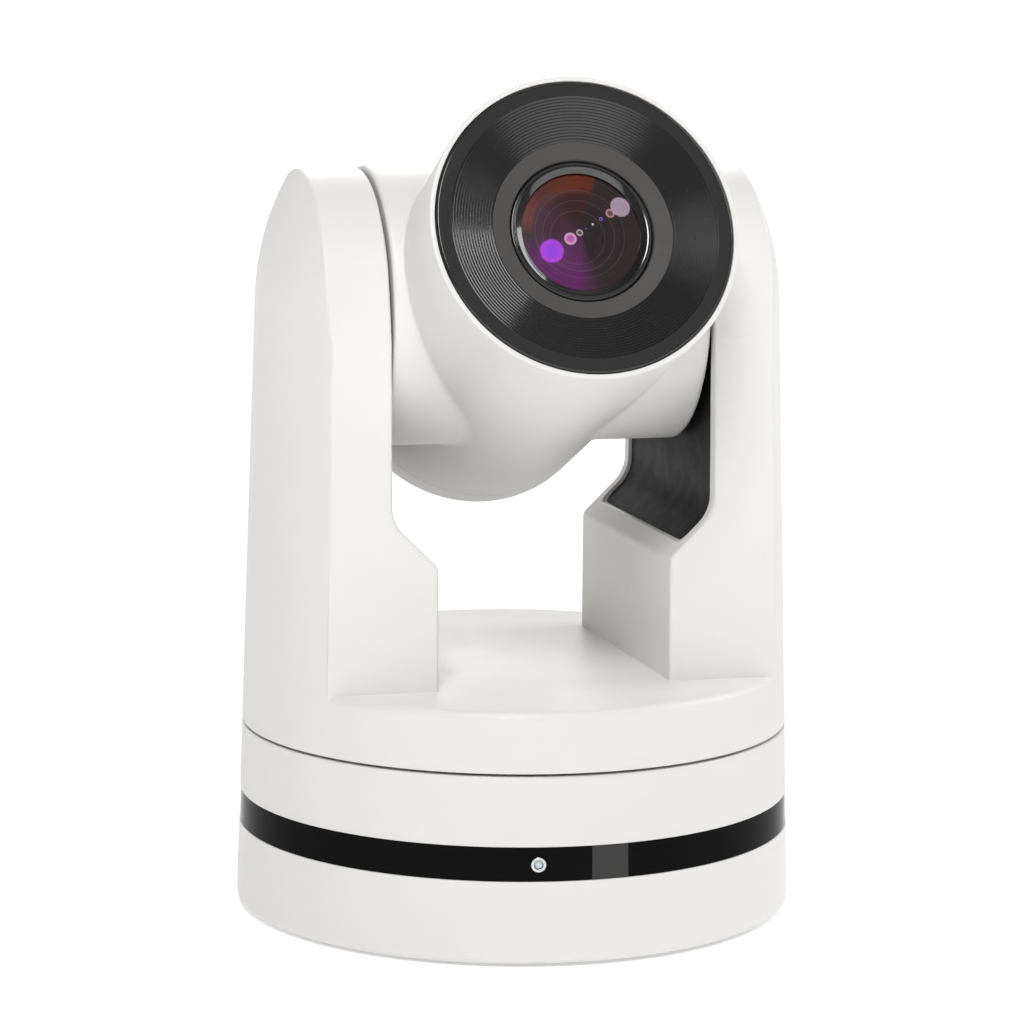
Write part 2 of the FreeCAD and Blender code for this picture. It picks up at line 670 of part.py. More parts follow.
def front_profile(offset, low, high):
    """The arms' inner side seen from the front, moved outwards by offset, as a face at y = -60."""
    slope = math.atan2(CHAMFER_HIGH - CHAMFER_LOW, ARM_INSIDE - ARM_BLOCK_INSIDE)
    drop = offset * (1 / math.cos(slope) - math.tan(slope))
    y = -60
    block = ARM_BLOCK_INSIDE + offset
    wall = ARM_INSIDE + offset
    nose = Vector(block, y, CHAMFER_LOW - drop)
    throat = Vector(wall, y, CHAMFER_HIGH - drop)
    bend = math.pi / 2 - slope
    nose_cut = (CHAMFER_NOSE_ROUND - min(offset, CHAMFER_NOSE_ROUND - 0.5)) * math.tan(bend / 2)
    throat_cut = (CHAMFER_HOLLOW_ROUND + offset) * math.tan(bend / 2)
    along = (throat - nose).normalize()
    points = {
        "foot": Vector(block, y, low),
        "nose_in": nose - Z_AXIS * nose_cut,
        "nose_out": nose + along * nose_cut,
        "throat_in": throat - along * throat_cut,
        "throat_out": throat + Z_AXIS * throat_cut,
        "head": Vector(wall, y, high),
        "far_head": Vector(90, y, high),
        "far_foot": Vector(90, y, low),
    }
    nose_mid = arc_middle(nose, points["nose_in"], points["nose_out"])
    throat_mid = arc_middle(throat, points["throat_in"], points["throat_out"])
    edges = [
        Part.makeLine(points["foot"], points["nose_in"]),
        Part.Arc(points["nose_in"], nose_mid, points["nose_out"]).toShape(),
        Part.makeLine(points["nose_out"], points["throat_in"]),
        Part.Arc(points["throat_in"], throat_mid, points["throat_out"]).toShape(),
        Part.makeLine(points["throat_out"], points["head"]),
        Part.makeLine(points["head"], points["far_head"]),
        Part.makeLine(points["far_head"], points["far_foot"]),
        Part.makeLine(points["far_foot"], points["foot"]),
    ]
    return Part.Face(Part.Wire(edges))


def arc_middle(corner, start, end):
    """The middle point of the arc that rounds a corner between two tangent points."""
    chord_middle = (start + end) * 0.5
    reach = (start - corner).Length
    half_chord = (end - start).Length * 0.5
    height = (chord_middle - corner).Length
    radius = reach * half_chord / height
    centre = corner + (chord_middle - corner) * ((radius ** 2 + reach ** 2) ** 0.5 / height)
    return centre + (corner - centre).normalize() * radius


def arm_space(inset, offset, low):
    """The right arm's outline: inset from the outside, offset from its inner side."""
    side = side_profile(inset, low).extrude(Vector(90, 0, 0))
    inner = front_profile(offset, low, 200).extrude(Vector(0, 120, 0))
    return side.common(inner).common(yoke_outline(low - 1, inset))


def cover_outline(margin, low):
    """The inner cover's outline seen from the side, as a thick slab across the right arm."""
    slab = side_profile(COVER_RIM + margin, low + margin).extrude(Vector(90, 0, 0))
    corners = edges_where(slab, lambda p, e: abs(p.z - low - margin) < 0.1 and abs(p.x - 45) < 1)
    return slab.makeFillet(COVER_CORNER_ROUND, corners)


def rounded_arm(low):
    """The right arm as a solid, with rounded edges towards the head and softer ones outside."""
    arm = arm_space(0, 0, low)
    inner = edges_where(arm, lambda p, e: p.x < ARM_INSIDE + 1 and p.z > low + 1
                        and (abs(p.y) > 5 or p.z > TILT_HEIGHT))
    arm = arm.makeFillet(ARM_CORNER_ROUND, inner)
    outer = edges_where(arm, lambda p, e: p.x > 50 and p.z > low + 1 and e.BoundBox.ZLength > 0.5
                        and "Line" not in e.Curve.TypeId)
    return arm.makeFillet(ARM_OUTER_ROUND, outer)


def yoke_housing():
    """White housing in one moulding: the turntable's skirt and top, and both arms."""
    low = SEAM_HEIGHT + 0.5 * SEAM_GAP
    drum = frustum(low, TURNTABLE_TOP, 0)
    top_edge = edges_where(drum, lambda p, e: abs(p.z - TURNTABLE_TOP) < 0.1 and len(e.Vertexes) == 1)
    drum = drum.makeFillet(TURNTABLE_EDGE_ROUND, top_edge)
    arm = rounded_arm(low)
    outside = drum.fuse(arm).fuse(mirror_x(arm)).removeSplitter()
    skirt_edge = edges_where(outside, lambda p, e: abs(p.z - low) < 0.1 and math.hypot(p.x, p.y) > 69)
    outside = outside.makeFillet(SEAM_EDGE_ROUND, skirt_edge)
    cavity = frustum(low - 1, TURNTABLE_TOP - WALL, WALL)
    arm_cavity = arm_space(WALL, WALL, low)
    pocket = cover_outline(0, COVER_LOW).common(yoke_outline(low, WALL))
    inside = arm_cavity.fuse(pocket)
    housing = outside.cut(cavity)
    housing = housing.cut(inside).cut(mirror_x(inside))
    return housing


def inner_cover():
    """Dark cover that closes the inner side of the right arm, down over the chamfer."""
    outer = front_profile(COVER_RECESS, 80, 200).extrude(Vector(0, 120, 0))
    inner = front_profile(COVER_RECESS + COVER_THICKNESS, 80, 200).extrude(Vector(0, 120, 0))
    cover = outer.cut(inner).common(cover_outline(GAP, COVER_LOW))
    hole = rod(TRUNNION_RADIUS + 4, (30, 0, TILT_HEIGHT), (60, 0, TILT_HEIGHT))
    return cover.cut(hole)


def yoke_plate():
    """Steel plate that carries both uprights and is screwed to the pan shaft."""
    low = PLATE_HEIGHT
    plate = rod(PLATE_RADIUS, (0, 0, low), (0, 0, low + PLATE_THICKNESS))
    plate = plate.cut(rod(PAN_SHAFT_BORE, (0, 0, low - 1), (0, 0, low + 5)))
    for y in (-38, 38):
        plate = plate.cut(rod(9.0, (0, y, low - 1), (0, y, low + 5)))
    return plate


def upright():
    """Steel bracket inside the right arm, with the seat of the tilt bearing."""
    low = PLATE_HEIGHT + PLATE_THICKNESS
    x = UPRIGHT_X
    half = UPRIGHT_HALF_WIDTH
    plate = box((x, -half, low), (x + 2, half, TILT_HEIGHT))
    plate = plate.fuse(rod(half, (x, 0, TILT_HEIGHT), (x + 2, 0, TILT_HEIGHT)))
    foot = box((x - 12, -half, low), (x + 1, half, low + 2))
    bracket = join([plate, foot])
    bracket = bracket.cut(rod(TILT_BEARING_RADIUS, (x - 1, 0, TILT_HEIGHT), (x + 3, 0, TILT_HEIGHT)))
    return bracket.cut(rod(5.0, (x - 1, 0, tilt_motor_height()), (x + 3, 0, tilt_motor_height())))


def tilt_motor_height():
    distance = 0.5 * TILT_GEAR_MODULE * (TILT_GEAR_TEETH + TILT_PINION_TEETH)
    return TILT_HEIGHT - distance


def tilt_bearing():
    """Flanged ball bearing in the right upright."""
    x = UPRIGHT_X
    body = rod(TILT_BEARING_RADIUS, (x, 0, TILT_HEIGHT), (x + 4, 0, TILT_HEIGHT))
    flange = rod(TILT_BEARING_RADIUS + 1, (x + 2, 0, TILT_HEIGHT), (x + 3, 0, TILT_HEIGHT))
    hole = rod(TRUNNION_RADIUS + FIT, (x - 1, 0, TILT_HEIGHT), (x + 5, 0, TILT_HEIGHT))
    return join([body, flange]).cut(hole)


def tilt_motor():
    x = UPRIGHT_X + 2
    z = tilt_motor_height()
    body = rod(TILT_MOTOR_RADIUS, (x, 0, z), (x + TILT_MOTOR_LENGTH, 0, z))
    boss = rod(4.8, (x - 1.8, 0, z), (x, 0, z))
    lug = box((x, -15.5, z - 3.5), (x + 1, 15.5, z + 3.5))
    shaft_hole = rod(MOTOR_SHAFT_RADIUS + FIT, (x - 3, 0, z), (x + 6, 0, z))
    return join([body, boss, lug]).cut(shaft_hole)


def standing_gear(gear, x, height):
    """Turns a gear made on +Z so that its axis lies along X, at a place along the tilt axis."""
    placed = gear.copy()
    placed.rotate(ORIGIN, Y_AXIS, 90)
    placed.translate(Vector(x, 0, height))
    return placed


def tilt_pinion():
    """Tilt motor's shaft and pinion, in mesh with the tilt gear above it."""
    z = tilt_motor_height()
    first = 180.0 + 180.0 / TILT_PINION_TEETH
    gear = involute_gear(TILT_PINION_TEETH, TILT_GEAR_MODULE, TILT_GEAR_THICKNESS + 1, 0.5, first)
    gear = standing_gear(gear, TILT_GEAR_X - 0.5, z)
    shaft = rod(MOTOR_SHAFT_RADIUS, (TILT_GEAR_X - 0.5, 0, z), (UPRIGHT_X + 7, 0, z))
    return join([gear, shaft])


def driver_board():
    """Motor driver board in the left arm, on the upright."""
    x = -(UPRIGHT_X + 3.5)
    board = box((x - 1.6, -14, 76), (x, 14, 128))
    chips = [box((x - 3.6, -6, 84), (x - 1.6, 6, 96)), box((x - 3.0, -5, 104), (x - 1.6, 5, 112))]
    posts = [rod(2.0, (x, y, z), (-(UPRIGHT_X + 2), y, z)) for y in (-10, 10) for z in (80, 124)]
    return join([board] + chips + posts)


def pan_shaft():
    """Hollow shaft through the pan bearing, with a flange under the yoke plate."""
    shaft = ring(PAN_SHAFT_RADIUS, PAN_SHAFT_BORE, (0, 0, PAN_FRAME_HEIGHT - 2), (0, 0, PLATE_HEIGHT))
    flange = ring(22.0, PAN_SHAFT_BORE, (0, 0, PLATE_HEIGHT - 1.0), (0, 0, PLATE_HEIGHT))
    step = ring(18.6, PAN_SHAFT_BORE, (0, 0, PAN_BEARING_HIGH + 0.2), (0, 0, PAN_GEAR_HEIGHT))
    groove = ring(18, 16.2, (0, 0, PAN_FRAME_HEIGHT - 0.4), (0, 0, PAN_FRAME_HEIGHT + 0.8))
    return join([shaft, flange, step]).cut(groove)


def pan_clip():
    """Retaining ring in the pan shaft's groove, under the bearing."""
    clip = ring(19.0, 16.25, (0, 0, PAN_FRAME_HEIGHT - 0.3), (0, 0, PAN_FRAME_HEIGHT + 0.7))
    return clip.cut(box((-2, 0, PAN_FRAME_HEIGHT - 1), (2, 30, PAN_FRAME_HEIGHT + 2)))


def pan_gear():
    """Large gear on the pan shaft, with lightening holes."""
    centre = pan_motor_centre()
    toward = math.degrees(math.atan2(centre[1], centre[0]))
    gear = involute_gear(PAN_GEAR_TEETH, PAN_GEAR_MODULE, PAN_GEAR_THICKNESS,
                         PAN_SHAFT_RADIUS + 0.02, toward)
    gear.translate(Vector(0, 0, PAN_GEAR_HEIGHT))
    for hole in range(8):
        low = on_circle(29, 22.5 + 45 * hole, PAN_GEAR_HEIGHT - 1)
        high = on_circle(29, 22.5 + 45 * hole, PAN_GEAR_HEIGHT + PAN_GEAR_THICKNESS + 1)
        gear = gear.cut(rod(6.0, low, high))
    return gear


def pan_cable():
    """Cable harness through the hollow shaft, from the base up into the yoke."""
    return rod(4.0, (0, 0, 26), (0, 0, PLATE_HEIGHT + PLATE_THICKNESS + 3))


def yoke_screws():
    """Screws through the uprights' feet into the plate."""
    low = PLATE_HEIGHT + PLATE_THICKNESS + 2
    screws = []
    for x in (-(UPRIGHT_X - 6), UPRIGHT_X - 6):
        for y in (-13, 0, 13):
            head = rod(2.5, (x, y, low), (x, y, low + 1.8))
            socket = rod(1.2, (x, y, low + 0.6), (x, y, low + 3))
            screws.append(head.cut(socket))
    return Part.makeCompound(screws)


# ---- head ----

def barrel_solid(inset, front):
    """The barrel's round, slightly tapered body, moved inwards by inset, from a front plane back."""
    rear = BARREL_REAR - inset
    radius = BARREL_REAR_RADIUS - inset
    rounding = BARREL_REAR_ROUND
    slant = (1 - math.sqrt(0.5)) * rounding
    z = BARREL_DROP
    front_edge = Vector(BARREL_FRONT_RADIUS - inset, front, z)
    side_end = Vector(radius, rear - rounding, z)
    round_middle = Vector(radius - slant, rear - slant, z)
    round_end = Vector(radius - rounding, rear, z)
    outline = [
        Part.makeLine(Vector(0, front, z), front_edge),
        Part.makeLine(front_edge, side_end),
        Part.Arc(side_end, round_middle, round_end).toShape(),
        Part.makeLine(round_end, Vector(0, rear, z)),
        Part.makeLine(Vector(0, rear, z), Vector(0, front, z)),
    ]
    return Part.Face(Part.Wire(outline)).revolve(Vector(0, 0, z), Y_AXIS, 360)


def barrel_skin():
    """The barrel's white skin, before it is split into front shell and rear cap."""
    skin = barrel_solid(0, BARREL_FRONT).cut(barrel_solid(HEAD_WALL, RING_BACK + RING_SEAT_THICKNESS))
    ring_seat = rod(RING_RADIUS + 0.1, (0, BARREL_FRONT - 1, BARREL_DROP), (0, RING_BACK, BARREL_DROP))
    opening = rod(33.0, (0, RING_BACK - 1, BARREL_DROP), (0, RING_BACK + 6, BARREL_DROP))
    side_openings = rod(SIDE_OPENING_RADIUS, (-60, 0, 0), (60, 0, 0))
    return skin.cut(ring_seat).cut(opening).cut(side_openings)


def head_shell():
    return barrel_skin().common(box((-60, -90, -60), (60, REAR_CAP_SEAM - SEAM_HALF, 60)))


def head_rear_cap():
    return barrel_skin().common(box((-60, REAR_CAP_SEAM + SEAM_HALF, -60), (60, 90, 60)))


def drum_cap():
    """White cover round the right trunnion, shaped to sit on the barrel's side."""
    half = DRUM_HALF_LENGTH
    drum = rod(DRUM_RADIUS, (0, 0, 0), (half, 0, 0))
    ends = edges_where(drum, lambda p, e: abs(p.x - half) < 0.1)
    drum = drum.makeFillet(DRUM_END_ROUND, ends)
    hollow = rod(DRUM_RADIUS - HEAD_WALL, (-1, 0, 0), (half - HEAD_WALL, 0, 0))
    trunnion_hole = rod(TRUNNION_RADIUS + 0.02, (0, 0, 0), (60, 0, 0))
    cap = drum.cut(hollow).cut(trunnion_hole).cut(barrel_solid(0, BARREL_FRONT))
    return largest_solid(cap)


def front_ring():
    """Black ring around the lens: flat edge, fine concentric ribs, then a smooth cone."""
    face = BARREL_FRONT - 0.2
    slope = CONE_DEPTH / (RIB_OUTER_RADIUS - CONE_INNER_RADIUS)
    pitch = (RIB_OUTER_RADIUS - RIB_INNER_RADIUS) / RIB_COUNT
    profile = [(RING_RADIUS, RING_BACK - 0.05), (RING_RADIUS, face + 0.5), (RING_RADIUS - 0.5, face),
               (RIB_OUTER_RADIUS, face + 0.15)]
    for rib in range(RIB_COUNT):
        outer = RIB_OUTER_RADIUS - pitch * rib
        depth = face + 0.3 + slope * (RIB_OUTER_RADIUS - outer)
        profile.append((outer - 0.05, depth + RIB_HEIGHT))
        profile.append((outer - 0.45 * pitch, depth + RIB_HEIGHT))
        profile.append((outer - 0.6 * pitch, depth))
        profile.append((outer - 0.95 * pitch, depth))
    inner_depth = face + 0.3 + CONE_DEPTH
    profile.append((CONE_INNER_RADIUS, inner_depth))
    profile.append((CONE_INNER_RADIUS, inner_depth + 3.5))
    profile.append((CONE_INNER_RADIUS + 3, inner_depth + 3.5))
    profile.append((CONE_INNER_RADIUS + 3, RING_BACK - 0.05))
    return lathe_y(profile, BARREL_DROP)


def lens_rim():
    """Glossy retaining ring that holds the front glass."""
    front = BARREL_FRONT + CONE_DEPTH - 0.3
    profile = [(RIM_OUTER_RADIUS, front + 0.6), (RIM_OUTER_RADIUS - 0.3, front),
               (RIM_OUTER_RADIUS - 1.0, front), (GLASS_RADIUS + 0.1, front + 2.2),
               (GLASS_RADIUS + 0.1, front + 3.6), (GLASS_RADIUS - 0.8, front + 3.6),
               (GLASS_RADIUS - 0.8, front + 7.6), (RIM_OUTER_RADIUS, front + 7.6)]
    return lathe_y(profile, BARREL_DROP)


def lens_disc(radius, front, front_bulge, thickness, rear_bulge):
    """A lens: rim thickness between two bulged faces; a negative bulge is hollow."""
    steps = 12
    points = []
    for step in range(steps + 1):
        r = radius * step / steps
        points.append((r, front - front_bulge * (1 - (r / radius) ** 2)))
    for step in range(steps + 1):
        r = radius * (steps - step) / steps
        points.append((r, front + thickness + rear_bulge * (1 - (r / radius) ** 2)))
    return lathe_y(points, BARREL_DROP)


def front_glass():
    return lens_disc(GLASS_RADIUS, BARREL_FRONT + CONE_DEPTH + 1.6, 1.7, 1.5, 0.4)


def lens_tube():
    """Black tube of the lens block, stepped down inside towards the sensor."""
    low = (0, LENS_TUBE_FRONT, BARREL_DROP)
    high = (0, LENS_TUBE_REAR, BARREL_DROP)
    tube = ring(LENS_TUBE_RADIUS, LENS_TUBE_BORE, low, high)
    lip = ring(LENS_TUBE_RADIUS, 14.5, (0, LENS_TUBE_FRONT, BARREL_DROP),
               (0, LENS_TUBE_FRONT + 1.2, BARREL_DROP))
    return join([tube, lip])


def second_lens():
    """Fixed lens group right behind the front glass."""
    return lens_disc(16.6, LENS_TUBE_FRONT + 3.5, 2.0, 2.5, 2.0)


def carriage(place, lens_radius):
    """A sliding lens holder that rides on the two guide rods."""
    plate = ring(CARRIAGE_RADIUS, lens_radius + FIT, (0, place, BARREL_DROP), (0, place + 3, BARREL_DROP))
    for side in (-1, 1):
        x = side * GUIDE_ROD_OFFSET
        hole = rod(GUIDE_ROD_RADIUS + FIT, (x, place - 1, BARREL_DROP), (x, place + 5, BARREL_DROP))
        plate = plate.cut(hole)
    return plate


def guide_rods():
    rods = []
    for side in (-1, 1):
        x = side * GUIDE_ROD_OFFSET
        rods.append(rod(GUIDE_ROD_RADIUS, (x, LENS_TUBE_FRONT + 10, BARREL_DROP),
                        (x, LENS_TUBE_REAR, BARREL_DROP)))
    return Part.makeCompound(rods)


def zoom_carriage():
    return carriage(ZOOM_CARRIAGE, ZOOM_LENS_RADIUS)


def zoom_lens():
    return lens_disc(ZOOM_LENS_RADIUS, ZOOM_CARRIAGE + 0.3, -0.8, 2.4, -1.2)


def focus_carriage():
    return carriage(FOCUS_CARRIAGE, FOCUS_LENS_RADIUS)


def focus_lens():
    return lens_disc(FOCUS_LENS_RADIUS, FOCUS_CARRIAGE + 0.4, 1.0, 2.2, 1.0)


def iris_unit():
    """Iris diaphragm fixed between the two sliding groups."""
    place = 0.5 * (ZOOM_CARRIAGE + FOCUS_CARRIAGE) + 4.6
    plate = ring(LENS_TUBE_BORE, 6.0, (0, place, BARREL_DROP), (0, place + 2.0, BARREL_DROP))
    for side in (-1, 1):
        x = side * GUIDE_ROD_OFFSET
        hole = rod(GUIDE_ROD_RADIUS, (x, place - 1, BARREL_DROP), (x, place + 5, BARREL_DROP))
        plate = plate.cut(hole)
    return plate


def camera_block():
    """Square housing behind the lens tube, open to it in the middle."""
    half = BLOCK_HALF
    block = box((-half, LENS_TUBE_REAR, BARREL_DROP - half), (half, BLOCK_REAR, BARREL_DROP + half))
    block = block.cut(box((-half + 2, LENS_TUBE_REAR + 2, BARREL_DROP - half + 2),
                          (half - 2, BLOCK_REAR + 1, BARREL_DROP + half - 2)))
    return block.cut(rod(9.0, (0, LENS_TUBE_REAR - 1, BARREL_DROP), (0, LENS_TUBE_REAR + 3, BARREL_DROP)))


def image_sensor():
    drop = BARREL_DROP
    return box((-6, BLOCK_REAR - 4.0, drop - 5), (6, BLOCK_REAR - 1.9, drop + 5))


def sensor_board():
    drop = BARREL_DROP
    board = box((-18, BLOCK_REAR - 1.9, drop - 18), (18, BLOCK_REAR - 0.3, drop + 18))
    return board


def video_board():
    """Round board behind the camera block, on four spacers."""
    drop = BARREL_DROP
    board = rod(27.0, (0, 36.0, drop), (0, 37.6, drop))
    chips = [box((-9, 37.6, drop - 9), (9, 39.6, drop + 9)), box((12, 37.6, drop - 6), (20, 39, drop + 4))]
    posts = [rod(2.0, (x, BLOCK_REAR, drop + z), (x, 36.0, drop + z))
             for x in (-19.9, 19.9) for z in (-14, 14)]
    return join([board] + chips + posts)


def head_bracket():
    """Steel cradle that ties the lens block to both trunnions."""
    half = BLOCK_HALF
    top = BARREL_DROP - half
    floor = box((-half - 2, 2, top - 1.6), (half + 2, 22, top))
    sides = []
    for side in (-1, 1):
        x0 = min(side * half, side * (half + 2))
        x1 = max(side * half, side * (half + 2))
        sides.append(box((x0, 2, top - 1.6), (x1, 22, BARREL_DROP + half)))
        arm0 = min(side * half, side * 33)
        arm1 = max(side * half, side * 33)
        sides.append(box((arm0, 2, -8), (arm1, 4, 8)))
        pad0 = min(side * 31, side * 33)
        pad1 = max(side * 31, side * 33)
        sides.append(box((pad0, -8, -8), (pad1, 4, 8)))
    return join([floor] + sides)


def trunnion():
    """Right trunnion: a flanged stub shaft from the cradle out through the drum's end."""
    inner = 33.0
    shaft = rod(TRUNNION_RADIUS, (inner, 0, 0), (TRUNNION_END, 0, 0))
    flange = rod(10.5, (inner, 0, 0), (inner + 2.5, 0, 0))
    bore = rod(3.0, (inner - 1, 0, 0), (TRUNNION_END + 1, 0, 0))
    return join([shaft, flange]).cut(bore)


def tilt_gear():
    """Gear on the right trunnion, inside the arm; a tooth points down at rest."""
    gear = involute_gear(TILT_GEAR_TEETH, TILT_GEAR_MODULE, TILT_GEAR_THICKNESS,
                         TRUNNION_RADIUS + 0.02, TILT_REST)
    for hole in range(5):
        turn = 2 * math.pi * hole / 5
        centre = Vector(12.5 * math.cos(turn), 12.5 * math.sin(turn), -1)
        gear = gear.cut(Part.makeCylinder(3.4, TILT_GEAR_THICKNESS + 2, centre))
    return standing_gear(gear, TILT_GEAR_X, 0)


# ---- assembly ----

def same(shape):
    return shape


NODES = [
    ("base_housing", base_housing, same),
    ("bottom_plate", bottom_plate, same),
    ("base_screws", base_screws, same),
    ("rubber_feet", rubber_feet, same),
    ("front_band", front_band, same),
    ("receiver_window", receiver_window, same),
    ("receiver_module", receiver_module, same),
    ("led_bezel", led_bezel, same),
    ("status_light", status_light, same),
    ("main_board", main_board, same),
    ("pan_frame", pan_frame, same),
    ("pan_bearing", pan_bearing, same),
    ("pan_motor", pan_motor, same),
    ("pan_pinion", pan_pinion, same),
    ("io_panel", io_panel, same),
    ("lan_socket", lan_socket, same),
    ("hdmi_socket", hdmi_socket, same),
    ("video_out", video_out, same),
    ("serial_sockets", serial_sockets, same),
    ("audio_socket", audio_socket, same),
    ("power_socket", power_socket, same),
    ("yoke_housing", yoke_housing, in_yoke),
    ("right_inner_cover", inner_cover, in_yoke),
    ("left_inner_cover", lambda: mirror_x(inner_cover()), in_yoke),
    ("yoke_plate", yoke_plate, in_yoke),
    ("right_upright", upright, in_yoke),
    ("left_upright", lambda: mirror_x(upright()), in_yoke),
    ("right_tilt_bearing", tilt_bearing, in_yoke),
    ("left_tilt_bearing", lambda: mirror_x(tilt_bearing()), in_yoke),
    ("tilt_motor", tilt_motor, in_yoke),
    ("tilt_pinion", tilt_pinion, in_yoke),
    ("driver_board", driver_board, in_yoke),
    ("pan_shaft", pan_shaft, in_yoke),
    ("pan_clip", pan_clip, in_yoke),
    ("pan_gear", pan_gear, same),
    ("pan_cable", pan_cable, in_yoke),
    ("yoke_screws", yoke_screws, in_yoke),
    ("head_shell", head_shell, in_head),
    ("head_rear_cap", head_rear_cap, in_head),
    ("right_drum_cap", drum_cap, in_head),
    ("left_drum_cap", lambda: mirror_x(drum_cap()), in_head),
    ("front_ring", front_ring, in_head),
    ("lens_rim", lens_rim, in_head),
    ("front_glass", front_glass, in_head),
    ("second_lens", second_lens, in_head),
    ("lens_tube", lens_tube, in_head),
    ("guide_rods", guide_rods, in_head),
    ("zoom_carriage", zoom_carriage, in_head),
    ("zoom_lens", zoom_lens, in_head),
    ("focus_carriage", focus_carriage, in_head),
    ("focus_lens", focus_lens, in_head),
    ("iris_unit", iris_unit, in_head),
    ("camera_block", camera_block, in_head),
    ("image_sensor", image_sensor, in_head),
    ("sensor_board", sensor_board, in_head),
    ("video_board", video_board, in_head),
    ("head_bracket", head_bracket, in_head),
    ("right_trunnion", trunnion, in_head),
    ("left_trunnion", lambda: mirror_x(trunnion()), in_head),
    ("tilt_gear", tilt_gear, in_head),
]

os.makedirs("parts", exist_ok=True)
for name, make, place in NODES:
    shape = place(make())
    assert shape.isValid(), name
    print(name, len(shape.Solids), round(shape.Volume, 1))
    shape.exportStep(os.path.join("parts", name + ".step"))
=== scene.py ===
import json
import math

import bmesh
import bpy
import numpy as np
from mathutils import Matrix, Vector


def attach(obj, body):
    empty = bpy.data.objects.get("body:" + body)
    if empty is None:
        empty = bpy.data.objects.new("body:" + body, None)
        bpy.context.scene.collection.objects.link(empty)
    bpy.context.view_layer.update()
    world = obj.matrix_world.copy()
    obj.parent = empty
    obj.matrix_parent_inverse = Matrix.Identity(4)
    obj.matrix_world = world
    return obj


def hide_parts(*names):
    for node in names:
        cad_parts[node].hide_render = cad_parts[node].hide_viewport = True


# White pan-tilt-zoom camera. Lengths below are millimetres unless a name says metres.
# The base and yoke keep their CAD solids; the head's skin, the lens ring and the glass are built here.

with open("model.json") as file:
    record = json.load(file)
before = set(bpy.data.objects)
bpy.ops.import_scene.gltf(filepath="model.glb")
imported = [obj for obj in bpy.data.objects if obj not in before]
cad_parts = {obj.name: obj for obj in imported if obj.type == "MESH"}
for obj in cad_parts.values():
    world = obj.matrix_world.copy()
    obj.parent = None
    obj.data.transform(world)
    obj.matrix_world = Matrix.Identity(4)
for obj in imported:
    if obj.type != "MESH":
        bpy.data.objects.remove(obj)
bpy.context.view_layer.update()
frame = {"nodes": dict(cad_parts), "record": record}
nodes = frame["nodes"]
record = frame["record"]

MM = 0.001
PAN_REST = math.radians(10.24)
TILT_REST = math.radians(24.0)
TILT_HEIGHT = 156.8
BARREL_DROP = -2.55
BARREL_FRONT = -66.4
BARREL_FRONT_RADIUS = 38.7
BARREL_REAR = 59.6
BARREL_REAR_RADIUS = 35.8
BARREL_REAR_ROUND = 6.5
REAR_CAP_SEAM = 47.0
SEAM_HALF = 0.12
SEAM_DEPTH = 1.8
SEAM_EDGE = 0.12
CAP_ROUND_STEPS = 16
DRUM_RADIUS = 35.8
DRUM_HALF_LENGTH = 41.0
DRUM_END_ROUND = 0.9
RING_RADIUS = 37.3
RIB_OUTER_RADIUS = 33.6
RIB_INNER_RADIUS = 22.5
RIB_COUNT = 15
# Each rib from its outer edge inwards: a flat land, a slope down to its foot, a short bottom
RIB_LAND = 0.14
RIB_FOOT = 0.62
RIB_END = 0.70
RIB_DEPTH = 0.28
RIB_END_DEPTH = 0.29
RING_PROUD = 0.2
RING_STEP = 0.12
RING_GAP = 0.12
RING_DEPTH = 8.0
CONE_INNER_RADIUS = 18.1
CONE_DEPTH = 3.4

# The head's own directions: X along the tilt axis, the lens looks to -Y
HEAD = (Matrix.Rotation(PAN_REST, 4, "Z") @ Matrix.Translation((0, 0, TILT_HEIGHT * MM))
        @ Matrix.Rotation(-TILT_REST, 4, "X"))
# The optical axis is the Y axis of this frame
OPTICS = HEAD @ Matrix.Translation((0, 0, BARREL_DROP * MM))


# ---- materials ----

class Nodes:
    """A small helper to wire the nodes of one material or world."""

    def __init__(self, owner, output="ShaderNodeOutputMaterial"):
        owner.use_nodes = True
        self.tree = owner.node_tree
        self.tree.nodes.clear()
        self.output = self.add(output)

    def add(self, kind, **settings):
        node = self.tree.nodes.new(kind)
        for key, value in settings.items():
            setattr(node, key, value)
        return node

    def link(self, source, target):
        self.tree.links.new(source, target)

    def noise(self, vector, scale, detail=3.0, roughness=0.55):
        node = self.add("ShaderNodeTexNoise")
        node.inputs["Scale"].default_value = scale
        node.inputs["Detail"].default_value = detail
        node.inputs["Roughness"].default_value = roughness
        self.link(vector, node.inputs["Vector"])
        return node.outputs["Fac"]

    def span(self, value, low, high, out_low, out_high):
        node = self.add("ShaderNodeMapRange")
        limits = {"From Min": low, "From Max": high, "To Min": out_low, "To Max": out_high}
        for name, number in limits.items():
            node.inputs[name].default_value = number
        self.link(value, node.inputs["Value"])
        return node.outputs["Result"]

    def maths(self, operation, first, second=None, clamp=False):
        node = self.add("ShaderNodeMath", operation=operation, use_clamp=clamp)
        for socket, value in zip(node.inputs, (first, second)):
            if value is None:
                continue
            if isinstance(value, (int, float)):
                socket.default_value = value
            else:
                self.link(value, socket)
        return node.outputs["Value"]

    def mix(self, factor, first, second, blend="MIX"):
        node = self.add("ShaderNodeMix", data_type="RGBA", blend_type=blend)
        for socket, value in ((node.inputs[0], factor), (node.inputs[6], first), (node.inputs[7], second)):
            if isinstance(value, (int, float)):
                socket.default_value = value
            elif isinstance(value, tuple):
                socket.default_value = (*value, 1.0)
            else:
                self.link(value, socket)
        return node.outputs[2]


